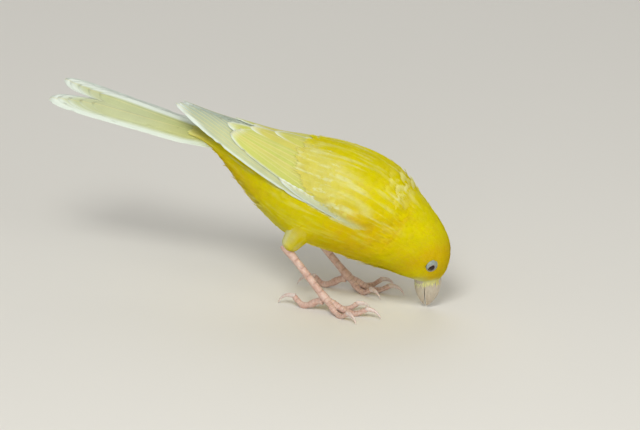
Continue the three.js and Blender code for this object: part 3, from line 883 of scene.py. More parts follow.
# %% Fuse the skin
EYE_RADIUS = 2.35
SKIN_VOXEL = 0.45
eyes = {}
near_t, near_angle = np.meshgrid(np.linspace(1.0, 3.2, 120), np.linspace(0, 2 * math.pi, 360))
near_head = body_point(near_t, near_angle).reshape(-1, 3)
for side_name, _ in SIDES:
    low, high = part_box("eye_" + side_name)
    middle = millimetres((np.array(low) + np.array(high)) / 2)
    away = np.linalg.norm(near_head - middle, axis=1)
    nearest = int(away.argmin())
    eyes[side_name] = {
        "middle": middle,
        "out": unit(near_head[nearest] - middle),
        "t": float(near_t.ravel()[nearest]),
        "angle": float(near_angle.ravel()[nearest]),
    }
    print("eye", side_name, {k: np.round(v, 2) for k, v in eyes[side_name].items()})

skin = join(skin_parts)
apply_modifier(skin, "REMESH", mode="VOXEL", voxel_size=SKIN_VOXEL * MM)
apply_modifier(skin, "SMOOTH", factor=0.5, iterations=8)
for side_name, _ in SIDES:
    start_alone()
    bpy.ops.mesh.primitive_uv_sphere_add(
        segments=32, ring_count=16, radius=(EYE_RADIUS + 0.02) * MM,
        location=metres(eyes[side_name]["middle"]))
    ball = bpy.context.active_object
    bpy.ops.object.transform_apply(location=True)
    apply_modifier(skin, "BOOLEAN", operation="DIFFERENCE", object=ball, solver="EXACT")
    take(ball)
    bpy.ops.object.delete()
print("the skin has", len(skin.data.vertices), "vertices")

# %% Mark the skin


def nearest_body_place(points):
    """The body coordinates of the surface points nearest to these."""
    t, angle = np.meshgrid(np.linspace(0, BODY_END, 150), np.linspace(0, 2 * math.pi, 72))
    t, angle = t.ravel(), angle.ravel()
    tree = tree_of(body_point(t, angle))
    found = np.array([tree.find(point)[1] for point in points])
    return t[found], angle[found]


def set_marks(mesh, marks, chance=0.5, tip=0.7):
    """The marks for Feather tone, one row for each vertex, and where on its feather each one is."""
    for name, values in zip(("deep", "pale", "dusk", "chance", "tip"), (*marks.T, chance, tip)):
        set_mark(mesh, name, values)


set_marks(skin.data, body_marks(*nearest_body_place(millimetres(coordinates(skin.data)))))
finish_piece(skin, "plumage", SKIN, "head", "neck", "torso", "rump", "thigh_left", "thigh_right")

# %% [markdown]
# ## One small feather
# A body feather is soft: only its tip shows, and there the barbs part like wet hair. It is
# modelled once as a fan of slim blades that lie side by side and fray at the end. A blade is a
# three-sided cylinder whose end points are drawn out to the root and to the tip, so it is closed
# all round and has only twelve triangles.

# %% Model a blade and a fan of blades


def model_blade():
    """Points (side, along, ridge) and triangles of one blade, between the root and the tip."""
    start_alone()
    bpy.ops.mesh.primitive_cylinder_add(vertices=3, radius=1, depth=1, end_fill_type="TRIFAN")
    blade = bpy.context.active_object
    bpy.ops.object.mode_set(mode="EDIT")
    bpy.ops.mesh.select_all(action="SELECT")
    bpy.ops.mesh.quads_convert_to_tris(quad_method="FIXED", ngon_method="BEAUTY")
    bpy.ops.object.mode_set(mode="OBJECT")
    plain = coordinates(blade.data)
    faces = np.array([list(p.vertices) for p in blade.data.polygons])
    bpy.ops.object.delete()
    centres = np.hypot(plain[:, 0], plain[:, 1]) < 0.5
    ring = np.where(plain[:, 2] > 0, 2, 1)
    ring[centres & (plain[:, 2] > 0)] = 3
    ring[centres & (plain[:, 2] < 0)] = 0
    angle = np.arctan2(plain[:, 1], plain[:, 0])
    corner = np.round((angle + math.pi) / (2 * math.pi / 3)).astype(int) % 3
    side = np.choose(corner, [-1.0, 1.0, 0.0])
    ridge = np.choose(corner, [0.0, 0.0, 1.0])
    side[centres] = 0
    ridge[centres] = 0.3
    return ring, side, ridge, faces


BLADE = model_blade()
BLADE_POINTS = len(BLADE[0])
RING_PLACES = np.array([0.0, 0.34, 0.86, 1.0])  # how far along a blade each of its four rings is


def model_fan(blades, random, fray=0.05, narrow=0.28):
    """Points (across, along, ridge) of a feather that is 2 wide and 1 long, and its triangles."""
    ring, side, ridge, faces = BLADE
    points = []
    triangles = []
    for j in range(blades):
        x = 2 * (j + 0.5) / blades - 1
        end = 1 - narrow * abs(x) ** 2.2 + fray * random.normal()
        centre = np.array([0.1, 0.7, 1.0, 0.98]) * x + np.array([0, 0, 0.2, 0.8]) * (
            0.5 / blades * random.normal())
        half = np.array([0, 1.25, 1.1, 0]) / blades
        level = 0.7 * random.random()
        points.append(np.stack([
            centre[ring] + side * half[ring],
            RING_PLACES[ring] * end,
            ridge + level,
        ], -1))
        triangles.append(faces + BLADE_POINTS * j)
    return np.concatenate(points), np.concatenate(triangles)


def fan_set(blades, kinds, seed, **shape):
    random = np.random.default_rng(seed)
    made = [model_fan(blades, random, **shape) for _ in range(kinds)]
    return np.stack([m[0] for m in made]), made[0][1]


FANS = {
    "head": fan_set(6, 12, 3, fray=0.06),
    "body": fan_set(14, 14, 5),
    "thigh": fan_set(9, 10, 9, fray=0.08),
    "covert": fan_set(17, 8, 11, fray=0.03, narrow=0.34),
}
print("triangles in a body feather:", len(FANS["body"][1]))

# %% [markdown]
# ## Planting
# Real feathers stand in staggered rows, closer where they are small. Places are drawn from an even
# sequence of numbers, and spread by how much surface each stretch of the body has. Each feather
# gets its own length, turn and bend. It starts deep in the coat and rises to the outline near its
# tip, which curls in a little. So every tip covers the roots of those behind it, as tiles do.

# %% Places to plant
GOLDEN_1 = 0.7548776662466927  # the two steps of an even sequence in the plane
GOLDEN_2 = 0.5698402909980532
SPREAD_STEPS = 160
TINY = 1e-3  # a small step of a surface's coordinates, to measure it by


def spread(place, p_range, q_range, area_each, seed):
    """Roots spread over a surface, one for each area_each(p, q) square millimetres."""
    p = np.linspace(*p_range, SPREAD_STEPS)
    q = np.linspace(*q_range, SPREAD_STEPS)
    pp, qq = np.meshgrid(p, q, indexing="ij")
    here = place(pp, qq)
    along = (place(pp + TINY, qq) - here) / TINY
    round_it = (place(pp, qq + TINY) - here) / TINY
    weight = np.linalg.norm(np.cross(along, round_it), axis=-1) / area_each(pp, qq)
    cell = (p[1] - p[0]) * (q[1] - q[0])
    count = int(weight.sum() * cell)
    rows = np.concatenate([[0], np.cumsum((weight.sum(1)[1:] + weight.sum(1)[:-1]) / 2)])
    n = np.arange(count) + seed * 1000
    u = (0.5 + GOLDEN_1 * n) % 1
    v = (0.5 + GOLDEN_2 * n) % 1
    found_p = np.interp(u * rows[-1], rows, p)
    row = np.clip(np.searchsorted(p, found_p), 0, len(p) - 1)
    ahead = np.cumsum(weight, axis=1)
    ahead = ahead / np.maximum(ahead[:, -1:], 1e-9)
    found_q = np.array([np.interp(v[i], ahead[row[i]], q) for i in range(count)])
    return np.stack([found_p, found_q], -1)


print("places for two feathers:", spread(
    body_point, (5, 6), (1, 2), lambda t, angle: 60 + 0 * t, seed=1).round(2).tolist())

# %% Plant feathers
RISE = 1.9  # how early a feather comes up to the outline: 1 is a straight rise


def plant(fans, roots, place, length, width, depth, tip_lift, seed, ridge=0.05, yaw=0.0,
          level=0.0, camber=0.1, shuffle=0.04, curl=0.16):
    """Points, triangles and marks of feathers on a surface. Sizes are numbers or one for each.

    A feather starts depth under the level and ends tip_lift over it. The ridge is how high its
    blades stand, camber how far its sides fall off, shuffle how uneven the tips lie, and curl how
    far they turn in."""
    random = np.random.default_rng(seed)
    shapes, faces = fans
    count = len(roots)
    shape = shapes[random.integers(len(shapes), size=count)]
    x, y, z = np.moveaxis(shape, -1, 0)

    def each(value, jitter=0.0):
        drawn = np.broadcast_to(np.asarray(value, float), (count,))
        return (drawn * (1 + jitter * random.normal(size=count)))[:, None]

    long = each(length, 0.1)
    wide = each(width, 0.08)
    heading = each(yaw) + 0.05 * random.normal(size=(count, 1))
    bend = 0.06 * random.normal(size=(count, 1))
    along = y * long
    across = x * wide / 2 + bend * y**2 * long
    ahead = along * np.cos(heading) - across * np.sin(heading)
    aside = along * np.sin(heading) + across * np.cos(heading)
    p0, q0 = roots[:, 0][:, None], roots[:, 1][:, None]
    p_scale = np.linalg.norm(place(p0 + TINY, q0, 0.0) - place(p0, q0, 0.0), axis=-1) / TINY
    p = p0 + ahead / p_scale
    q_scale = np.linalg.norm(place(p, q0 + TINY, 0.0) - place(p, q0, 0.0), axis=-1) / TINY
    q = q0 + aside / q_scale
    height = each(level) - each(depth) * np.clip(1 - y, 0, 1) ** RISE + each(tip_lift, 0.3) * y**2
    height = height + ridge * z - camber * x**2 * y + shuffle * y * random.normal(size=(count, 1))
    height = height - curl * np.clip((y - 0.6) / 0.4, 0, 1) ** 2
    points = place(p, q, height)
    flat = place(p, q, 0.0)
    slope = np.cross(place(p + TINY, q, 0.0) - flat, place(p, q + TINY, 0.0) - flat)
    outwards = (slope * (place(p, q, 1.0) - flat)).sum(-1, keepdims=True)
    per = shape.shape[1]
    first = (np.arange(count) * per)[:, None, None]
    return {
        "points": points.reshape(-1, 3),
        "places": np.stack([p.ravel(), q.ravel()]),
        "normals": unit(slope * np.sign(outwards)).reshape(-1, 3),
        "faces": (faces[None] + first).reshape(-1, 3),
        "per": per,
        "tip": np.clip(y, 0, 1).ravel(),
        "across": x.ravel(),
        "chance": 0.6 * np.repeat(random.random(count), per) + 0.4 * np.repeat(
            random.random(count * per // BLADE_POINTS), BLADE_POINTS),
        "roots": roots,
    }


print("points in a body feather:", FANS["body"][0].shape[1])

# %% [markdown]
# All feathers of one part of the coat are one mesh, laid down in one go. Its map, OFBake, is the
# body's own length and turn made flat, and each feather is a small patch where its root stands. Down
# scatters light, so a barb is shaded mostly as the coat that it lies in.

# %% Lay a mesh and its map


def lay_mesh(name, points, faces, baked_at):
    """A mesh of triangles that face outwards, with a place on the map for each vertex."""
    corners = points[faces]
    volume = np.einsum("ij,ij->i", corners[:, 0], np.cross(corners[:, 1], corners[:, 2])).sum()
    if volume < 0:
        faces = faces[:, ::-1]
    mesh = bpy.data.meshes.new(name)
    mesh.vertices.add(len(points))
    mesh.vertices.foreach_set("co", metres(points).ravel())
    mesh.loops.add(len(faces) * 3)
    mesh.loops.foreach_set("vertex_index", np.ascontiguousarray(faces, np.int32).ravel())
    mesh.polygons.add(len(faces))
    mesh.polygons.foreach_set("loop_start", np.arange(0, len(faces) * 3, 3, dtype=np.int32))
    mesh.update(calc_edges=True)
    layer = mesh.uv_layers.new(name="OFBake")
    layer.data.foreach_set("uv", baked_at[faces.ravel()].ravel())
    piece = bpy.data.objects.new(name, mesh)
    bpy.context.scene.collection.objects.link(piece)
    return piece, faces


PATCH = 0.003  # how large each feather is on the map
MAP_EDGE = 0.01  # kept free all round the map
SOFTNESS = 0.78


def coat_piece(name, planted, marks, ranges):
    """All feathers planted as one piece, with their marks."""
    starts, ends = np.array(ranges, float).T
    centre = np.clip((planted["roots"] - starts) / (ends - starts), 0, 1)
    centre = MAP_EDGE + (1 - 2 * MAP_EDGE) * centre
    patch = np.stack([planted["tip"] - 0.5, planted["across"] / 2], -1) * PATCH
    baked_at = np.repeat(centre, planted["per"], axis=0) + patch
    piece, faces = lay_mesh(name, planted["points"], planted["faces"], baked_at)
    set_marks(piece.data, marks, planted["chance"], planted["tip"])
    finish_piece(piece, "plumage", PLUMAGE)
    corners = planted["points"][faces]
    own = unit(np.cross(corners[:, 1] - corners[:, 0], corners[:, 2] - corners[:, 0]) + 1e-12)
    lie = planted["normals"][faces]
    outer = np.sign((own[:, None] * lie).sum(-1, keepdims=True))
    soft = unit(SOFTNESS * outer * lie + (1 - SOFTNESS) * own[:, None])
    piece.data.normals_split_custom_set(soft.reshape(-1, 3))


print("each feather takes up", PATCH, "of the map")

# %% [markdown]
# ## The coat of the head
# The feathers of the face are the smallest, hardly more than a millimetre. They start at the bill and
# grow towards the nape. They part round the eye as water parts round a stone, so the flow round a
# cylinder gives each one its direction.

# %% Head
EYE_CLEAR = 1.5  # millimetres round the middle of the eye without feathers
EYE_NEAR = 5
LID_EDGE = 1.5  # the short feathers between the bill and the eye reach over the lower lid
LID_APEX = math.radians(20)  # where the bare skin is widest, from straight back towards the crown
BODY_TURN = 2 * math.pi


def eye_flow(roots):
    """How each feather near an eye turns aside, whether it is clear of the eye, and its room."""
    yaw = np.zeros(len(roots))
    free = np.ones(len(roots), bool)
    room = np.full(len(roots), np.inf)
    points = body_point(roots[:, 0], roots[:, 1])
    for side_name, sign in SIDES:
        t, angle = eyes[side_name]["t"], eyes[side_name]["angle"]
        here = body_point(t, angle)
        back = unit(body_point(t + 0.01, angle) - here)
        out = unit(np.cross(back, body_point(t, angle + 0.01) - here))
        over = np.cross(out, back)
        offset = points - here
        x, y = offset @ back, offset @ over
        near = np.linalg.norm(offset, axis=1) < EYE_NEAR
        r2 = np.maximum(x * x + y * y, 0.01)
        flow_x = 1 - EYE_CLEAR**2 * (x * x - y * y) / r2**2
        flow_y = -2 * EYE_CLEAR**2 * x * y / r2**2
        away = np.sqrt(r2)
        over_lid = near & (x < -0.5 * away) & (away < LID_EDGE + 0.9)
        yaw = np.where(near, np.arctan2(flow_y, flow_x), yaw)
        yaw = np.where(over_lid, np.arctan2(y, -x) * -0.5, yaw)
        room = np.where(over_lid, np.maximum(away - LID_EDGE + 0.5, 0.35), room)
        behind = np.clip((x * math.cos(LID_APEX) + sign * y * math.sin(LID_APEX)) / away, 0, 1)
        bare = np.where(over_lid, LID_EDGE - 0.3, EYE_CLEAR * (0.92 + 0.3 * behind**2))
        free &= ~(near & (away < bare))
    return yaw, free, room


WIDTH_SHARE = 0.62  # how wide a feather of the body is for its length
HEAD_RANGE = ((0.02, 3.35), (0.0, BODY_TURN))
HEAD_FEATHER = (1.25, 0.75)  # the length at the bill, and how much it gains with each cross-section
head_roots = spread(body_point, *HEAD_RANGE, lambda t, a: 0.13 + 0.08 * t, seed=2)
head_yaw, head_free, head_room = eye_flow(head_roots)
head_roots, head_yaw, head_room = head_roots[head_free], head_yaw[head_free], head_room[head_free]


def head_half(side_name, chosen):
    """The coat of one side of the head."""
    roots, yaw, room = head_roots[chosen], head_yaw[chosen], head_room[chosen]
    t = roots[:, 0]
    random = np.random.default_rng(29)
    ruffled = soft_step(1.4, 2.4, t) * soft_step(0.5, 0.9, -np.sin(roots[:, 1]))
    lift = 0.05 + 0.6 * ruffled * (random.random(len(t)) < 0.3) * random.random(len(t))
    lift = np.where(np.isfinite(room), 0.3, lift)
    full = HEAD_FEATHER[0] + HEAD_FEATHER[1] * t
    room = np.minimum(room, 9)
    planted = plant(FANS["head"], roots, body_point, np.minimum(full, room),
                    np.minimum(WIDTH_SHARE * full, 0.9 * room), np.minimum(coat_depth(t), 0.5 * room),
                    lift, 20, ridge=0.03, yaw=yaw, camber=0.05, shuffle=0.02, curl=0.06)
    coat_piece("coat_head_" + side_name, planted, body_marks(*planted["places"]), HEAD_RANGE)


on_left = np.cos(head_roots[:, 1]) >= 0
head_half("left", on_left)
head_half("right", ~on_left)

# %% [markdown]
# Round the root of the bill the last feathers turn the other way and lie over the horn. They are
# short, pale bristles.

# %% Bristles at the bill
BRISTLES = 800
random = np.random.default_rng(24)
bristle_angle = BODY_TURN * ((0.5 + GOLDEN_1 * np.arange(BRISTLES)) % 1)
bristle_line = 0.05 * np.abs(np.sin(bristle_angle)) ** 3  # lower over the ridge and at the chin
bristle_roots = np.stack([0.3 * random.random(BRISTLES) - bristle_line + 0.08, bristle_angle], -1)
planted = plant(FANS["head"], bristle_roots, body_point, 0.4 + 0.6 * random.random(BRISTLES), 0.22,
                0.25, 0.0, 23, ridge=0.015, yaw=math.pi, camber=0.02, shuffle=0.01, level=-0.12,
                curl=0.0)
bristle_marks = np.clip(body_marks(*planted["places"]) * [0.5, 1, 1] + [0, 0.3, 0], 0, 1)
coat_piece("coat_bristles", planted, bristle_marks, ((-0.2, 0.5), (0.0, BODY_TURN)))

# %% [markdown]
# ## The coat of the body
# The neck and the breast carry longer feathers of five millimetres or so. The neck is bent down,
# which ruffles the nape: there some feathers stand off the coat, and their tips are pale. The throat
# does the same where it folds against the breast, and so does the down behind the thighs.

# %% How long the feathers are, and where they stand off
BODY_FEATHER = [1.6, 2.0, 2.8, 3.6, 4.6, 5.4, 5.8, 6.0, 6.4, 6.8, 7.4, 8.0, 8.0]  # each section's
NAPE_RUFFLE = (4.75, 0.45, 0.95)  # as for the marks: where, how far it reaches, how much it lifts
THROAT_RUFFLE = (3.7, 0.6, 0.8)
VENT_RUFFLE = 0.6
FEATHER_AREA = 1.15
HIDDEN_AREA = 3.65  # fewer feathers grow where the wing hides them


def body_length_of(t):
    return spline(BODY_FEATHER, np.clip(t, 0, BODY_END))


def ruffle(t, angle):
    """How far tips stand off, at the nape, the throat and the vent."""
    up = np.sin(angle)
    nape = band(t, NAPE_RUFFLE) * soft_step(0.55, 0.95, up)
    throat = band(t, THROAT_RUFFLE) * soft_step(0.55, 0.95, -up)
    vent = soft_step(6.6, 7.6, t) * (1 - soft_step(10.2, 11, t)) * soft_step(0.5, 0.9, -up)
    return nape + throat + VENT_RUFFLE * vent


def body_area(t, angle):
    return FEATHER_AREA + (HIDDEN_AREA - FEATHER_AREA) * hidden_by_wing(t, angle)


print("longest feather of the body:", max(BODY_FEATHER), "mm")

# %% Neck, breast, back, belly and rump


def grow_body(name, t_range, angle_range, seed):
    """The coat of one stretch of the body, also where it runs over the front of the wing."""
    roots = spread(body_point, t_range, angle_range, body_area, seed)
    t, angle = roots.T
    random = np.random.default_rng(seed + 500)
    stand = ruffle(t, angle)
    apart = (random.random(len(t)) < 0.4) * random.random(len(t))
    lift = 0.05 + stand * apart
    over = 1 - hidden_by_wing(t, angle)

    def surface(t, angle, grown=0.0):
        share = over[:, None] if np.ndim(t) > 1 else 1.0
        return body_point(t, angle, grown + share * from_table(WING_HEIGHT, t, angle))

    long = body_length_of(t)
    planted = plant(FANS["body"], roots, surface, long, WIDTH_SHARE * long, coat_depth(t),
                    lift - 0.3 * (1 - over), seed)
    t, angle = planted["places"]
    marks = body_marks(t, angle)
    back, up = from_table(WING_ALONG, t, angle), from_table(WING_ACROSS, t, angle)
    on_wing = np.repeat(over, planted["per"]) * soft_step(9, 26, back) * (1 - soft_step(11, 15, up))
    marks[:, 1] += (0.25 + 0.5 * np.clip(streaks(t + 3, angle), 0, 1)) * on_wing
    edge = soft_step(8, 13, back) * hump(up, -0.2, 1.2)
    marks[:, 1] += 0.75 * edge
    marks[:, 1] += 0.9 * np.repeat(soft_step(0.3, 1.2, stand) * apart, planted["per"]) * planted["tip"]
    # Painted shade: the crease between the neck and the bend of the wing is painted a deeper yellow,
    # besides its dip in the coat.
    crease_painted_shade = from_table(SHOULDER_CREASE, t, angle)
    marks[:, 0] = np.clip(marks[:, 0] * (1 - edge) + 0.85 * crease_painted_shade, 0, 1)
    coat_piece(name, planted, marks, (t_range, angle_range))


UPPER_SIDE = (0, math.pi)
UNDERSIDE = (math.pi, BODY_TURN)
grow_body("coat_nape", (3.2, 5.3), UPPER_SIDE, 31)
grow_body("coat_throat", (3.2, 5.3), UNDERSIDE, 32)
grow_body("coat_mantle", (5.3, 7.0), UPPER_SIDE, 33)
grow_body("coat_breast", (5.3, 7.0), UNDERSIDE, 34)
grow_body("coat_back", (7.0, 8.8), UPPER_SIDE, 36)
grow_body("coat_belly", (7.0, 8.8), UNDERSIDE, 37)
grow_body("coat_rump", (8.8, 10.7), (0, BODY_TURN), 35)

# %% [markdown]
# Longer, firmer feathers cover the root of the tail from above and from below.

# %% Tail coverts


def tail_coverts(name, angles, count, length, t_from, t_to, seed):
    random = np.random.default_rng(seed)
    t = np.linspace(t_from, t_to, count)
    angle = angles[0] + (angles[1] - angles[0]) * ((0.5 + GOLDEN_1 * np.arange(count)) % 1)
    roots = np.stack([t, angle + 0.03 * random.normal(size=count)], -1)
    length = length * (0.75 + 0.35 * random.random(count))
    planted = plant(FANS["covert"], roots, body_point, length, 3.2, 0.9, 0.1, seed)
    marks = body_marks(*planted["places"])
    coat_piece(name, planted, marks, ((t_from - 0.1, t_to + 0.1), angles))


tail_coverts("coat_tail_upper", (0.1, math.pi - 0.1), 120, 7.5, 9.2, 10.5, 41)
tail_coverts("coat_tail_under", (math.pi + 0.1, BODY_TURN - 0.1), 130, 7.5, 8.8, 10.1, 42)

# %% [markdown]
# Under the tail and behind the thighs the down is loose. Some fine pale tips stand off the coat there
# and make a soft fringe.

# %% Loose tips
LOOSE_TIPS = 200
random = np.random.default_rng(71)
loose = np.stack([7.5 + 2.8 * random.random(LOOSE_TIPS),
                  1.5 * math.pi + 0.9 * (2 * random.random(LOOSE_TIPS) - 1)], -1)
planted = plant(FANS["head"], loose, body_point, 3.2 + 1.8 * random.random(LOOSE_TIPS), 1.1, 0.5,
                0.1 + 1.1 * random.random(LOOSE_TIPS) ** 3, 72, ridge=0.02, camber=0.05, curl=0.0)
marks = body_marks(*planted["places"]) * [0.6, 1, 1]
marks[:, 1] = np.clip(marks[:, 1] + 0.3 * planted["tip"] ** 2, 0, 1)
coat_piece("coat_loose", planted, marks, ((7.2, 10.6), (3.5, 5.9)))

# %% [markdown]
# The thigh's feathers are short, as yellow as the belly in front, pale behind, and end in a cuff at
# the heel.

# %% Thigh tufts
THIGH_RANGE = ((0.0, 0.93), (0.0, BODY_TURN))
THIGH_AREA = 0.5

for side_name, sign in SIDES:
    def on_thigh(s, angle, grown=0.0, sign=sign):
        return thigh_point(s, angle, sign, grown)

    roots = spread(on_thigh, *THIGH_RANGE, lambda s, a: THIGH_AREA + 0 * s, seed=51)
    planted = plant(FANS["thigh"], roots, on_thigh, 5.0 - 2.4 * roots[:, 0], 2.2 - 0.8 * roots[:, 0],
                    THIGH_COAT, 0.1, 52, ridge=0.03, shuffle=0.05)
    down, turn = planted["places"]
    rear = 0.5 - 0.5 * np.sin(turn)
    streak = drawn_out(FINE_STREAKS, 4 * down, turn / BODY_TURN * 24)
    low = soft_step(0.1, 0.65, down)
    pale = (0.05 + 0.75 * rear**1.5 + 0.2 * streak) * low
    marks = np.stack([0.35 * (1 - rear * low), np.clip(pale, 0, 1), 0 * pale], -1)
    coat_piece("coat_thigh_" + side_name, planted, marks, THIGH_RANGE)

# %% [markdown]
# ## One long feather
# A flight feather has a firm shaft with a narrow vane on its outer side and a wide one on its inner
# side. It is modelled once as a flat grid, made solid, with its middle columns drawn up to the
# shaft. Every feather of the wings and the tail is a copy, bent to its own line, with its own
# splits in the edge. On the map each has a cell of its own.

# %% Model a vane
VANE_COLUMNS = np.array([-1, -0.8, -0.5, -0.2, -0.05, 0.0, 0.05, 0.2, 0.5, 0.8, 1])


def model_vane(rows):
    """Across (-1 to 1), along (0 to 1), upper face (1 or 0), shaft (0 or 1) and triangles."""
    start_alone()
    columns = len(VANE_COLUMNS) - 1
    bpy.ops.mesh.primitive_grid_add(x_subdivisions=columns, y_subdivisions=rows, size=2)
    vane = bpy.context.active_object
    apply_modifier(vane, "SOLIDIFY", thickness=0.2, offset=0)
    bpy.ops.object.mode_set(mode="EDIT")
    bpy.ops.mesh.select_all(action="SELECT")
    bpy.ops.mesh.quads_convert_to_tris(quad_method="FIXED", ngon_method="BEAUTY")
    bpy.ops.object.mode_set(mode="OBJECT")
    plain = coordinates(vane.data)
    faces = np.array([list(p.vertices) for p in vane.data.polygons])
    bpy.ops.object.delete()
    column = np.round((plain[:, 0] + 1) / 2 * columns).astype(int)
    across = VANE_COLUMNS[column]
    return {
        "across": across,
        "along": np.round((plain[:, 1] + 1) / 2 * rows) / rows,
        "upper": (plain[:, 2] > 0).astype(float),
        "shaft": (across == 0).astype(float),
        "faces": faces,
        "rows": rows,
    }


LONG_VANE = model_vane(34)
SHORT_VANE = model_vane(16)
print("triangles in a long feather:", len(LONG_VANE["faces"]))

# %% Bend copies of it


def vane_copy(model, place, feather, random):
    """One feather on a sheet. It runs from its root to its tip, both as (along, across)."""
    u, s = model["across"], model["along"]
    root, tip = np.array(feather["root"], float), np.array(feather["tip"], float)
    bow = feather.get("bow", 0.0)
    long = np.linalg.norm(tip - root)
    way = np.arctan2(tip[1] - root[1] + 4 * bow * (1 - 2 * s), tip[0] - root[0])
    middle_a = root[0] + (tip[0] - root[0]) * s
    middle_b = root[1] + (tip[1] - root[1]) * s + 4 * bow * s * (1 - s)
    blunt = feather.get("blunt", 0.12)
    taper = feather.get("taper", 0.72)
    full = np.minimum(1, 0.3 + 3.0 * s)
    past = np.clip((s - taper) / (1 - taper), 0, 1)
    end = np.sqrt(np.clip(1 - (1 - blunt**2) * past ** feather.get("round", 2.2), 0, 1))
    outer = feather.get("outer", 0.4)
    share = np.where(u < 0, 2 * outer, 2 * (1 - outer))
    edge_rows = model["rows"] + 1
    frays = {side: 1 - 0.02 * random.random(edge_rows) for side in (-1, 1)}
    for side in (-1, 1):
        for _ in range(feather.get("splits", 2)):
            at = random.integers(int(edge_rows * 0.3), edge_rows - 2)
            frays[side][at] -= 0.06 + 0.16 * random.random()
    row = np.round(s * model["rows"]).astype(int)
    frayed = np.where(u < 0, frays[-1][row], frays[1][row])
    half = feather["width"] / 2 * full * end * share * np.where(abs(u) == 1, frayed, 1)
    sweep = 0.3 * abs(u) * feather["width"] * share * (1 - 0.8 * past)
    offset = u * half
    a = middle_a - offset * np.sin(way) - sweep * 0.5
    b = middle_b + offset * np.cos(way)
    low, high = feather["lift"]
    thick = np.where(abs(u) < 0.1, 0.26 - 0.14 * s, 0.14 - 0.08 * abs(u))
    thick = thick * (1 - 0.5 * past)
    lift = low + (high - low) * s - feather.get("camber", 0.22) * u**2 * full
    lift = lift - feather.get("dip", 0.0) * np.clip(1 - s / 0.22, 0, 1) ** 2
    lift = lift + np.where(model["upper"] > 0, 0.0, -thick) + model["shaft"] * model["upper"] * 0.08
    points = place(a, b, lift)
    edge = (abs(u) ** 3 + 0.9 * past**3) * feather.get("edge", 1.0)
    edge = np.clip(edge + feather.get("far_edge", 0.0) * np.clip(1.5 * u, 0, 1) ** 1.5, 0, 1)
    return {
        "points": points,
        "across_mm": offset,
        "along_mm": s * long,
        "edge": edge,
        "tip": 0.6 + 0.4 * s,
        "cell": np.stack([s, (u + 1) / 2], -1),
        "marks": np.array(feather["marks"]) + np.outer(
            past, feather.get("end_marks", (0, 0, 0))) + np.outer(
            np.clip(1 - 1.6 * s, 0, 1), feather.get("root_marks", (0, 0, 0))),
        "chance": np.full(len(u), random.random()),
    }


print("points in a long feather:", len(LONG_VANE["across"]))

# %% Lay long feathers
ATLAS = 8  # long feathers are laid out in a square of this many cells a side
CELL_EDGE = 0.04  # kept free all round a cell


def vane_piece(name, place, feathers, seed, node):
    """Long feathers on a sheet as one piece, which stands for one of the frame's solids."""
    random = np.random.default_rng(seed)
    copies = []
    faces = []
    start = 0
    for index, feather in enumerate(feathers):
        model = LONG_VANE if feather.get("long", True) else SHORT_VANE
        copy = vane_copy(model, place, feather, random)
        faces.append(model["faces"] + start)
        start += len(copy["points"])
        corner = np.array([index % ATLAS, index // ATLAS])
        copy["cell"] = (corner + CELL_EDGE + (1 - 2 * CELL_EDGE) * copy["cell"]) / ATLAS
        copies.append(copy)
    laid = {key: np.concatenate([copy[key] for copy in copies]) for key in copies[0]}
    piece, _ = lay_mesh(name, laid["points"], np.concatenate(faces), laid["cell"])
    set_marks(piece.data, laid["marks"], laid["chance"], laid["tip"])
    for key in ("across_mm", "along_mm", "edge"):
        set_mark(piece.data, key, laid[key])
    finish_piece(piece, "flight_feathers", VANES, node)


print("a square of", ATLAS, "by", ATLAS, "cells is ready for the long feathers")

# %% [markdown]
# ## The folded wings
# From below upwards a folded wing shows nine primaries, whose tips make the point of the wing, six
# secondaries, three broad tertials that close over them like a lid, and rows of coverts that hide
# their roots. Each row lies on the one before. The primaries' outer edges are nearly white.

# %% Tiers of the wing


def between(first, last, f):
    return [a + (b - a) * f for a, b in zip(first, last)]


def tier(count, roots, tips, lifts, widths, marks, bows=(0, 0), edges=(1, 1), **more):
    """Feathers from the lowest to the highest of a row, their tips on a smooth curve."""
    made = []
    for i in range(count):
        f = i / (count - 1)
        made.append({
            "root": between(*roots, f),
            "tip": spline(tips, f * (len(tips) - 1)),
            "lift": between(*lifts, f),
            "width": widths[0] + (widths[1] - widths[0]) * f,
            "bow": bows[0] + (bows[1] - bows[0]) * f,
            "edge": edges[1] + (edges[0] - edges[1]) * (1 - f) ** 5,
            "marks": marks,
            **more,
        })
    return made


PRIMARY_TIPS = [(72.5, 0.2), (76.2, 1.4), (75.2, 2.4), (72.4, 3.1), (69.4, 3.7), (66.4, 4.2),
                (63.4, 4.6), (60.4, 4.9), (57.4, 5.2)]
SECONDARY_TIPS = [(57.6, 1.6), (57.2, 2.8), (56.0, 4.4)]
TERTIAL_TIPS = [(60.3, 4.0), (54, 7.4), (47, 10.8)]
PRIMARY_COVERT_TIPS = [(38, -0.7), (34.5, -0.3), (31, 0.3), (27, 0.9)]

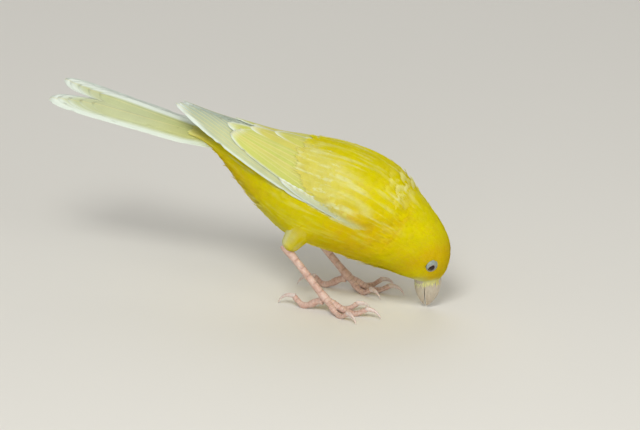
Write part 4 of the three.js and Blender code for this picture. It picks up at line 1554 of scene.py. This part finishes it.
ROOT_DIP = 1.8
WING_FEATHERS = (
    tier(9, [(20, 0.4), (24, 3.4)], PRIMARY_TIPS, [(0.35, 0.1), (0.78, 0.75)], (5.0, 5.4),
         (0.0, 0.75, 0.16), bows=(-1.9, 0.0), edges=(2.6, 0.35), outer=0.34, end_marks=(0, 0.0, 0.6),
         splits=3, dip=ROOT_DIP)
    + tier(6, [(22, 2.4), (24, 10)], SECONDARY_TIPS, [(0.8, 0.9), (1.08, 1.08)], (5.2, 5.8),
           (0.08, 0.3, 0.0), bows=(-0.8, 0.0), outer=0.38, splits=2, dip=ROOT_DIP)
    + tier(3, [(23, 9.5), (24, 14)], TERTIAL_TIPS, [(1.0, 1.05), (1.3, 1.3)], (6.4, 6.0),
           (0.12, 0.22, 0.0), bows=(0.5, 0.5), outer=0.5, splits=2, taper=0.6, dip=ROOT_DIP)
    + tier(6, [(11, 0.3), (12, 1.8)], PRIMARY_COVERT_TIPS, [(0.5, 0.8), (0.6, 0.9)], (2.6, 3.0),
           (0.0, 0.95, 0.08), edges=(2.4, 1.6), outer=0.4, long=False, splits=1, dip=ROOT_DIP)
)
print("long feathers in a wing:", len(WING_FEATHERS))

# %% Fold the wings


def folded_wing(along, across, lift, sign):
    """The wing's sheet. Over the rump the left wing lies under the right one."""
    points = wing_point(along, across, lift, sign)
    if sign > 0:
        tip = soft_step(48, 72, along)
        middle = soft_step(32, 50, along)
        points[..., 2] -= 0.4 * soft_step(-0.5, 2.5, -points[..., 1]) + 0.3 * middle + 0.7 * tip
        points[..., 1] -= 1.4 * middle
    return points


for side_name, sign in SIDES:
    vane_piece("wing_feathers_" + side_name,
               lambda a, b, lift, sign=sign: folded_wing(a, b, lift, sign),
               WING_FEATHERS, 61, "wing_" + side_name)

# %% [markdown]
# The small coverts over the roots of the long feathers are soft. Each row is planted like the coat,
# and points a little down towards the wing's lower edge, with pale streaks drawn out along it.

# %% Coverts of the wing
COVERT_TIPS = [(28, 0.6), (31.5, 2.2), (34.6, 4.2), (36.8, 7.0), (37.2, 10.0), (36.0, 13.0)]
COVERT_ROWS = 4
COVERT_STEP = 3.6
COVERTS_IN_ROW = 26

for side_name, sign in SIDES:
    def over_vanes(along, across, grown=0.0, sign=sign):
        rise = 0.1 + 1.2 * soft_step(-1.2, 2.2, across)
        return folded_wing(along, across, rise + grown, sign)

    random = np.random.default_rng(63)
    row, f = np.divmod(np.arange(COVERT_ROWS * COVERTS_IN_ROW), COVERTS_IN_ROW)
    f = np.clip((f + 0.5 * (row % 2) + 0.3 * random.normal(size=len(f))) / COVERTS_IN_ROW, 0, 1)
    tips = spline(COVERT_TIPS, f * (len(COVERT_TIPS) - 1))
    long = 10.5 - 1.2 * row + 1.2 * random.normal(size=len(row))
    yaw = -0.38 + 0.3 * f
    roots = np.stack([tips[:, 0] - COVERT_STEP * row - long * np.cos(yaw),
                      tips[:, 1] - long * np.sin(yaw)], -1)
    planted = plant(FANS["covert"], roots, over_vanes, long, 2.9, 1.5, 0.02 + 0.13 * row, 64,
                    ridge=0.03, yaw=yaw, shuffle=0.02, curl=0.1)
    along, across = planted["places"]
    streak = drawn_out(FINE_STREAKS, along / 5, (across + 0.3 * along) / 0.55)
    pale = 0.2 + 0.55 * np.clip(1.3 * streak, 0, 1) + 0.15 * planted["tip"] ** 4
    marks = np.stack([0.06 - 0.1 * streak, pale, 0 * pale], -1)
    coat_piece("coat_coverts_" + side_name, planted, np.clip(marks, 0, 1), ((5, 30), (-1, 16)))

# %% [markdown]
# ## The tail
# Twelve feathers in six pairs. The middle pair is the shortest and lies on top, and the notch
# between the longest ones forks the tail. The outer feathers have white edges.

# %% Tail feathers
TAIL_ROOT = (-47.4, 47.6)
TAIL_PAIRS = 6
TAIL_LONG = (30.0, 42.4)
TAIL_ARCH = (0.022, -0.012)  # how fast it falls off to the right, and to the left
TAIL_ROLL = math.tan(math.radians(11))


def tail_point(along, across, lift):
    arch = np.where(across < 0, TAIL_ARCH[0], TAIL_ARCH[1])
    up = lift - arch * across**2 + across * TAIL_ROLL
    x = TAIL_ROOT[0] - along * math.cos(TAIL_SLOPE) + up * math.sin(TAIL_SLOPE)
    z = TAIL_ROOT[1] + along * math.sin(TAIL_SLOPE) + up * math.cos(TAIL_SLOPE)
    return np.stack([x, across + 0 * x, z], -1)


tail_feathers = []
for pair in range(TAIL_PAIRS):
    reach = min(1, 1.15 * math.sin(pair / (TAIL_PAIRS - 1) * 1.35))
    long = TAIL_LONG[0] + (TAIL_LONG[1] - TAIL_LONG[0]) * reach
    for sign in (1, -1):
        height = 0.5 - 0.15 * pair + (0.07 if sign > 0 else 0)
        tail_feathers.append({
            "root": (-11, sign * (0.3 + 0.6 * pair)),
            "tip": (long, sign * (2.5 + 0.58 * pair)),
            "lift": (height, height),
            "width": 6.4,
            "outer": 0.5 + sign * (0.02 + 0.03 * pair),
            "marks": (0.0, 0.72 + 0.04 * pair, 0.12),
            "root_marks": (0.0, -0.4, -0.1),
            "far_edge": 1.5 if sign > 0 else 0.0,
            "edge": 0.3 + 0.1 * pair**2,
            "taper": 0.74,
            "blunt": 0.2,
            "round": 3.0,
            "splits": 3,
            "camber": 0.12,
        })
vane_piece("tail_feathers", tail_point, tail_feathers, 81, "tail")

# %% [markdown]
# ## Eyes and lids
# The eye is a dark, wet ball, set deep. The bird looks down at the floor, so its upper lid, bare
# blue-grey skin, is half lowered. A torus is drawn over the ball: its inner side becomes the rim
# of the lids, an almond, and its outer side slips under the feathers.

# %% Materials of eye, lid, bill, legs and claws


def two_tones(tree, grain, first, second, low=0.3, high=0.7):
    """Two colours that drift into one another with the grain."""
    return mix_colour(tree, ranged(tree, grain, low, high, 0.0, 1.0), colour(first), colour(second))


def eye_material():
    material, tree, body = new_material("eye", 0.08, Specular_IOR_Level=0.35)
    place = object_place(tree)
    tone = mix_colour(tree, noise(tree, place, 900.0, 2.0), colour("1A0D0A"), colour("2E1812"))
    tree.links.new(tone, body.inputs["Base Color"])
    return material


def lid_material():
    material, tree, body = new_material("lid", 0.5)
    place = object_place(tree)
    grain = noise(tree, place, 2500.0, 3.0)
    tone = two_tones(tree, grain, "727D76", "949E96")
    tone = mix_colour(tree, ranged(tree, attribute(tree, "rim"), 0.8, 1.0, 0.0, 0.6), tone,
                      colour("B9968A"))
    tree.links.new(tone, body.inputs["Base Color"])
    bump(tree, body, grain, 0.5, 0.00008)
    return material


def bill_material():
    material, tree, body = new_material("bill", 0.38)
    place = object_place(tree)
    stretch = tree.nodes.new("ShaderNodeMapping")
    stretch.inputs["Scale"].default_value = (1.0, 1.0, 0.25)
    tree.links.new(place, stretch.inputs["Vector"])
    grain = noise(tree, stretch.outputs["Vector"], 1500.0, 3.0)
    tone = two_tones(tree, grain, "ACA08C", "BFB5A4")
    height = tree.nodes.new("ShaderNodeSeparateXYZ")
    tree.links.new(place, height.inputs[0])
    tip = ranged(tree, height.outputs["Z"], 0.0, 0.005, 0.45, 0.0)
    tone = mix_colour(tree, tip, tone, colour("A8937F"))
    tree.links.new(tone, body.inputs["Base Color"])
    soft_inside(body, 0.15, (0.001, 0.0005, 0.0004))
    bump(tree, body, grain, 0.15, 0.0001)
    return material


def leg_material():
    material, tree, body = new_material("leg_skin", 0.55)
    place = object_place(tree)
    patches = noise(tree, place, 700.0, 3.0)
    fine = noise(tree, place, 3500.0, 2.0)
    tone = two_tones(tree, patches, "BC998A", "CBB1A4", 0.35, 0.65)
    tone = mix_colour(tree, ranged(tree, fine, 0.55, 0.75, 0.0, 0.35), tone, colour("A57F71"))
    # Painted shade: the creases between the scutes are painted a darker brown.
    crease = attribute(tree, "crease")
    tone = mix_colour(tree, math_node(tree, "MULTIPLY", crease, 0.55), tone, colour("8E6C5D"))
    tree.links.new(tone, body.inputs["Base Color"])
    soft_inside(body, 0.1, (0.001, 0.0004, 0.0003))
    bump(tree, body, fine, 0.3, 0.00008)
    return material


def claw_material():
    material, tree, body = new_material("claw", 0.35)
    place = object_place(tree)
    grain = noise(tree, place, 1200.0, 3.0)
    tone = two_tones(tree, grain, "C2ACA4", "D2C6BE")
    tree.links.new(tone, body.inputs["Base Color"])
    soft_inside(body, 0.15, (0.001, 0.0005, 0.0004))
    bump(tree, body, grain, 0.1, 0.00008)
    return material


EYE_GLOSS = eye_material()
LID_SKIN = lid_material()
HORN = bill_material()
LEG_SKIN = leg_material()
CLAW_HORN = claw_material()
print("bare materials:", EYE_GLOSS.name, LID_SKIN.name, HORN.name, LEG_SKIN.name, CLAW_HORN.name)

# %% Eyeballs
for side_name, eye in eyes.items():
    start_alone()
    bpy.ops.mesh.primitive_uv_sphere_add(segments=40, ring_count=24, radius=EYE_RADIUS * MM,
                                         location=metres(eye["middle"]))
    ball = bpy.context.active_object
    ball.name = "eyeball_" + side_name
    bpy.ops.object.transform_apply(location=True)
    finish_piece(ball, "eye", EYE_GLOSS, "eye_" + side_name)

# %% Lids
LID_LIFT = 0.10  # from the ball to the middle of the lid
LID_THICK = 0.20
LID_REACH = math.radians(47)  # from straight out to where the bare skin ends
LID_POINT = math.radians(9)  # how much further the bare skin reaches at its apex
SLIT_PLACE = (0.45, -0.28)  # the slit's middle, towards the bill and towards the crown
SLIT_SIZE = (1.25, 0.86)
SLIT_TURN = math.radians(-28)

for side_name, eye in eyes.items():
    out = eye["out"]
    to_bill = unit(out * (out @ UPWARDS) - UPWARDS)
    to_crown = unit(head_place(1.0, 0.0, 0.0) - head_place(0.0, 0.0, 0.0))
    to_crown = unit(to_crown - out * (to_crown @ out) - to_bill * (to_crown @ to_bill))
    start_alone()
    bpy.ops.mesh.primitive_torus_add(major_segments=64, minor_segments=20, major_radius=1,
                                     minor_radius=0.3)
    lid = bpy.context.active_object
    lid.name = "lids_" + side_name
    plain = coordinates(lid.data)
    major = np.arctan2(plain[:, 1], plain[:, 0])
    minor = np.arctan2(plain[:, 2], np.hypot(plain[:, 0], plain[:, 1]) - 1)
    outwards = (1 + np.cos(minor)) / 2
    slit_x = SLIT_SIZE[0] * np.cos(major)
    slit_y = SLIT_SIZE[1] * np.sin(major) * np.abs(np.sin(major)) ** 0.35
    x = SLIT_PLACE[0] + slit_x * math.cos(SLIT_TURN) - slit_y * math.sin(SLIT_TURN)
    y = SLIT_PLACE[1] + slit_x * math.sin(SLIT_TURN) + slit_y * math.cos(SLIT_TURN)
    deep = np.sqrt(EYE_RADIUS**2 - x**2 - y**2)
    rim = (deep[:, None] * out + x[:, None] * to_bill + y[:, None] * to_crown) / EYE_RADIUS
    turn = major + SLIT_TURN
    towards = np.clip(np.cos(turn - math.pi + LID_APEX), 0, 1)
    reach = (LID_REACH + LID_POINT * towards**3)[:, None]
    brim = np.cos(reach) * out + np.sin(reach) * (
        np.cos(turn)[:, None] * to_bill + np.sin(turn)[:, None] * to_crown)
    way = unit(rim + (brim - rim) * outwards[:, None])
    fold = 0.035 * np.sin(outwards * 22) * soft_step(0.1, 0.3, outwards)
    roll = 0.07 * hump(outwards, 0, 0.1)
    radius = EYE_RADIUS + LID_LIFT + (LID_THICK / 2 + roll) * np.sin(minor)
    radius = radius + np.where(plain[:, 2] > 0, fold, 0)
    set_coordinates(lid.data, metres(eye["middle"] + way * radius[:, None]))
    set_mark(lid.data, "rim", 1 - outwards)
    normals_outwards(lid)
    finish_piece(lid, "eye", LID_SKIN)

# %% [markdown]
# ## The bill
# A short cone of horn, split along the mouth. The upper half is the deeper one, with a soft ridge,
# and a nostril opens on each side near its root.

# %% Bill
BILL_GAPE = 13.7
BILL_ROOT_UP = 9.3
BILL_TIP_UP = 0.62
BILL_WIDE = 3.3
BILL_PARTED = (0.03, 0.4)  # how far each half keeps from the mouth's line, at root and tip
NOSTRIL = (17.3, 2.1, 8.1)
NOSTRIL_RADIUS = 0.42
NOSTRIL_DEEP = 0.5


def bill_half(name, sign, deep, tip_up, node):
    def place(s, angle):
        s = s**0.8
        height = np.maximum(deep * (1 - s**2.3) ** 0.8, 0.1)
        wide = np.maximum(BILL_WIDE * (1 - s**1.6) ** 0.9, 0.1)
        edge = BILL_GAPE + sign * (BILL_PARTED[0] + (BILL_PARTED[1] - BILL_PARTED[0]) * s**2)
        ridge = 1 + 0.05 * hump(angle, math.pi / 2, 0.3)
        forward = edge + sign * height * np.maximum(np.sin(angle), 0) * ridge
        cosine = np.cos(angle)
        points = head_place(forward, wide * cosine, BILL_ROOT_UP + (tip_up - BILL_ROOT_UP) * s)
        if sign > 0:
            for side in (1, -1):
                pit = head_place(NOSTRIL[0], side * NOSTRIL[1], NOSTRIL[2])
                away = np.linalg.norm(points - pit, axis=-1)
                dent = NOSTRIL_DEEP * hump(away, 0, NOSTRIL_RADIUS)
                middle = head_place(BILL_GAPE + 1, 0.0, NOSTRIL[2])
                points = points + dent[:, None] * unit(middle - points)
        return points

    half = wrapped_tube(name, 48, 56, place)
    finish_piece(half, "bill", HORN, node)
    take(half)
    bpy.ops.object.shade_smooth_by_angle(angle=math.radians(50))


bill_half("bill_upper_horn", 1, 4.4, BILL_TIP_UP, "bill_upper")
bill_half("bill_lower_horn", -1, 3.1, BILL_TIP_UP + 0.5, "bill_lower")

# %% [markdown]
# ## Legs, toes and claws
# A canary's shank is bare and no thicker than a match, with a row of broad scutes down the front.
# The toes have short scutes on top and soft pads below. Shank and toes are tubes fused into one
# skin. The scutes are then raised on it, because a remesh would wash them out.

# %% The lines of the leg
SHANK_RADIUS = 1.15
HEEL_RADIUS = 1.5
CLAW_SWEEP = math.radians(80)
CLAW_FIRST = math.radians(100)
CLAW_ROOT = 0.84
CLAW_TIP = 0.14
CLAW_SUNK = 0.5  # how far its root goes back into the toe
TOE_PADS = 3
TOES = [
    {"name": "hind", "points": 187, "long": 9.2, "radius": 1.05, "claw": 6.4},
    {"name": "inner", "points": -24, "long": 9.6, "radius": 0.95, "claw": 4.6},
    {"name": "middle", "points": 2, "long": 13.2, "radius": 1.0, "claw": 5.2},
    {"name": "outer", "points": 30, "long": 10.2, "radius": 0.92, "claw": 4.6},
]


def claw_drop(toe):
    radius = toe["claw"] / CLAW_SWEEP
    return radius * (math.sin(CLAW_FIRST) - math.sin(CLAW_FIRST - CLAW_SWEEP))


def toe_way(toe, sign):
    points = math.radians(toe["points"])
    return np.array([math.cos(points), sign * math.sin(points), 0])


def toe_line(toe, sign, s):
    """A toe's middle line from the foot, s = 0, to the root of the claw, s = 1."""
    hind = toe["name"] == "hind"
    end = claw_drop(toe) + CLAW_TIP
    heights = [3.3, 2.4, 1.1, 0.95, end] if hind else [4.0, 2.6, 0.9, 0.75, end]
    start = sided(FOOT, sign) + (np.array([-0.8, 0, 0]) if hind else 0)
    steps = len(heights) - 1
    rows = [start * [1, 1, 0] + toe_way(toe, sign) * toe["long"] * i / steps + [0, 0, up]
            for i, up in enumerate(heights)]
    return spline(rows, np.asarray(s, float) * steps)


def ring_round(middle, way, upright, wide, deep, angle):
    side = unit(np.cross(upright, way))
    up = np.cross(way, side)
    return middle + side * (wide * np.cos(angle))[:, None] + up * (deep * np.sin(angle))[:, None]


def along_line(line, radius_at):
    """A place function for a tube of radius_at(s) along line(s)."""
    def place(s, angle):
        way = unit(line(np.minimum(s + 0.01, 1)) - line(np.maximum(s - 0.01, 0)))
        radius = radius_at(s)
        return ring_round(line(s), way, UPWARDS, radius, radius, angle)

    return place


def shank_line(sign):
    heel, foot = sided(HEEL, sign), sided(FOOT, sign)
    way = unit(foot - heel)

    def line(s):
        return heel - 1.6 * way + np.asarray(s, float)[..., None] * (foot - heel + 2.2 * way)

    return line


def shank_radius(s):
    flare = (HEEL_RADIUS - SHANK_RADIUS) * hump(s, 0.07, 0.13)
    return 0.95 * (SHANK_RADIUS + flare + 0.3 * soft_step(0.78, 1.0, s))


def toe_radius(toe):
    def radius(s):
        joints = 0.05 * np.cos(2 * math.pi * TOE_PADS * s)
        return toe["radius"] * (1.06 - 0.26 * s + joints) * np.sqrt(np.clip(
            1 - (np.maximum(0, s - 0.9) / 0.13) ** 2, 0.02, 1))

    return radius


print("the claws drop by", [round(claw_drop(toe), 1) for toe in TOES], "mm")

# %% Fuse a leg and raise its scutes
LEG_VOXEL = 0.16
SCUTE_HEIGHT = 0.09
PAD_HEIGHT = 0.1
SHANK_SCUTES = 7
SHANK_FRONT = np.array([1.0, 0, 0.6])  # where the shank's scutes face
TOE_SCUTE_PITCH = 1.05


def relief(points, sign):
    """How far the scutes and pads stand out at these points, and how deep in a crease each is. The
    leg's material paints the creases darker, as painted shade.
    """
    best = np.full(len(points), np.inf)
    height = np.zeros(len(points))
    crease = np.zeros(len(points))
    s = np.linspace(0, 1, 120)
    lines = [(shank_line(sign), None)] + [
        (lambda k, toe=toe: toe_line(toe, sign, k), toe) for toe in TOES]
    for line, toe in lines:
        way_points = line(s)
        away = np.linalg.norm(points[:, None] - way_points[None], axis=-1)
        nearest = away.argmin(axis=1)
        near = away.min(axis=1) < best
        best = np.minimum(best, away.min(axis=1))
        place = s[nearest]
        length = np.linalg.norm(np.diff(way_points, axis=0), axis=1).sum()
        tangent = unit(np.gradient(way_points, axis=0))[nearest]
        out = unit(points - way_points[nearest])
        facing = SHANK_FRONT if toe is None else UPWARDS
        top = (out * unit(facing - tangent * (tangent @ facing)[:, None])).sum(1)
        if toe is None:
            turn = place * SHANK_SCUTES
            covered = soft_step(-0.1, 0.35, top)
            pad = 0.0
        else:
            turn = place * length / TOE_SCUTE_PITCH
            covered = soft_step(-0.05, 0.3, top)
            pad = PAD_HEIGHT * soft_step(0.3, 0.9, -top) * np.cos(2 * math.pi * TOE_PADS * place)
        saw = turn % 1
        plate = covered * (saw**0.7 - 0.5) * SCUTE_HEIGHT * (1 - soft_step(0.93, 1.0, saw))
        groove = covered * (hump(saw, 0.03, 0.08) + hump(saw, 1.0, 0.06))
        height = np.where(near, plate + pad, height)
        crease = np.where(near, np.clip(groove, 0, 1), crease)
    return height, crease


def make_leg(side_name, sign):
    parts = [wrapped_tube("leg_skin_" + side_name, 20, 40, along_line(shank_line(sign), shank_radius))]
    for toe in TOES:
        parts.append(wrapped_tube("toe", 16, 30, along_line(
            lambda s, toe=toe: toe_line(toe, sign, s), toe_radius(toe))))
    leg = join(parts)
    apply_modifier(leg, "REMESH", mode="VOXEL", voxel_size=LEG_VOXEL * MM)
    apply_modifier(leg, "SMOOTH", factor=0.5, iterations=4)
    points = millimetres(coordinates(leg.data))
    normals = np.empty(len(points) * 3)
    leg.data.vertices.foreach_get("normal", normals)
    height, crease = relief(points, sign)
    points = points + normals.reshape(-1, 3) * height[:, None]
    points[:, 2] = np.maximum(points[:, 2], 0.0)
    set_coordinates(leg.data, metres(points))
    set_mark(leg.data, "crease", crease)
    finish_piece(leg, "leg_skin", LEG_SKIN, "shank_" + side_name, "foot_" + side_name)


for side_name, sign in SIDES:
    make_leg(side_name, sign)

# %% [markdown]
# A claw is a curved, flattened cone of clear horn. It leaves the toe almost level and bends down
# until its tip touches the floor.

# %% Claws


def make_claw(toe, side_name, sign):
    root = toe_line(toe, sign, 1.0)
    way = toe_way(toe, sign)
    radius = toe["claw"] / CLAW_SWEEP

    def place(s, angle):
        turn = CLAW_FIRST - CLAW_SWEEP * s
        back = np.maximum(0, 0.12 - s) / 0.12
        ahead = 0.2 + radius * (np.cos(turn) - math.cos(CLAW_FIRST)) - CLAW_SUNK * back
        fall = radius * (np.sin(turn) - math.sin(CLAW_FIRST))
        middle = root + ahead[:, None] * way + fall[:, None] * UPWARDS
        tangent = np.sin(turn)[:, None] * way - np.cos(turn)[:, None] * UPWARDS
        thick = CLAW_ROOT + (CLAW_TIP * 0.6 - CLAW_ROOT) * s**1.2
        keel = np.where(np.sin(angle) > 0, 1.0, 0.85)
        points = ring_round(middle, tangent, UPWARDS, thick * 0.7, thick * keel, angle)
        points[:, 2] = np.maximum(points[:, 2], 0.0)
        return points

    claw = wrapped_tube("claw_horn_{}_{}".format(side_name, toe["name"]), 16, 24, place)
    finish_piece(claw, "claw", CLAW_HORN, "claw_{}_{}".format(side_name, toe["name"]))


for side_name, sign in SIDES:
    for toe in TOES:
        make_claw(toe, side_name, sign)

# %% [markdown]
# ## Floor and light
# A plain pale floor and soft studio light. The strongest light comes from above the camera, as on
# the photograph. A low one in front lights the face, a large weak one fills the shadows, one behind
# draws the line of the back, and an even sky does the rest.

# %% Floor
FLOOR_SIZE = 4  # metres
start_alone()
bpy.ops.mesh.primitive_grid_add(x_subdivisions=8, y_subdivisions=8, size=FLOOR_SIZE)
floor = bpy.context.active_object
floor.name = "floor"
floor_material, _, floor_body = new_material("floor", 0.85)
floor_body.inputs["Base Color"].default_value = colour("D9D6CF")
floor.data.materials.append(floor_material)
print("the floor is", FLOOR_SIZE, "m wide")

# %% Lights


def softbox(name, at, size, power, tint):
    start_alone()
    bpy.ops.object.light_add(type="AREA", location=at)
    light = bpy.context.active_object
    light.name = name
    light.data.shape = "DISK"
    light.data.size = size
    light.data.energy = power
    light.data.color = tint
    light.rotation_euler = (Vector(at) - Vector((0, 0, 0.03))).to_track_quat("Z", "Y").to_euler()


softbox("key", (0.12, -0.6, 0.72), 0.35, 4.6, (1.0, 1.0, 0.97))
softbox("front", (0.42, -1.26, 0.22), 0.5, 3.7, (1.0, 1.0, 0.98))
softbox("fill", (0.75, -0.45, 0.4), 0.6, 2.2, (1.0, 1.0, 1.0))
softbox("rim", (-0.3, 0.75, 0.75), 0.9, 2.2, (1.0, 1.0, 1.0))

SKY_STRENGTH = 0.42
world = bpy.data.worlds.new("studio")
world.use_nodes = True
sky = world.node_tree.nodes["Background"]
sky.inputs["Color"].default_value = (0.9, 0.9, 0.89, 1)
sky.inputs["Strength"].default_value = SKY_STRENGTH
bpy.context.scene.world = world
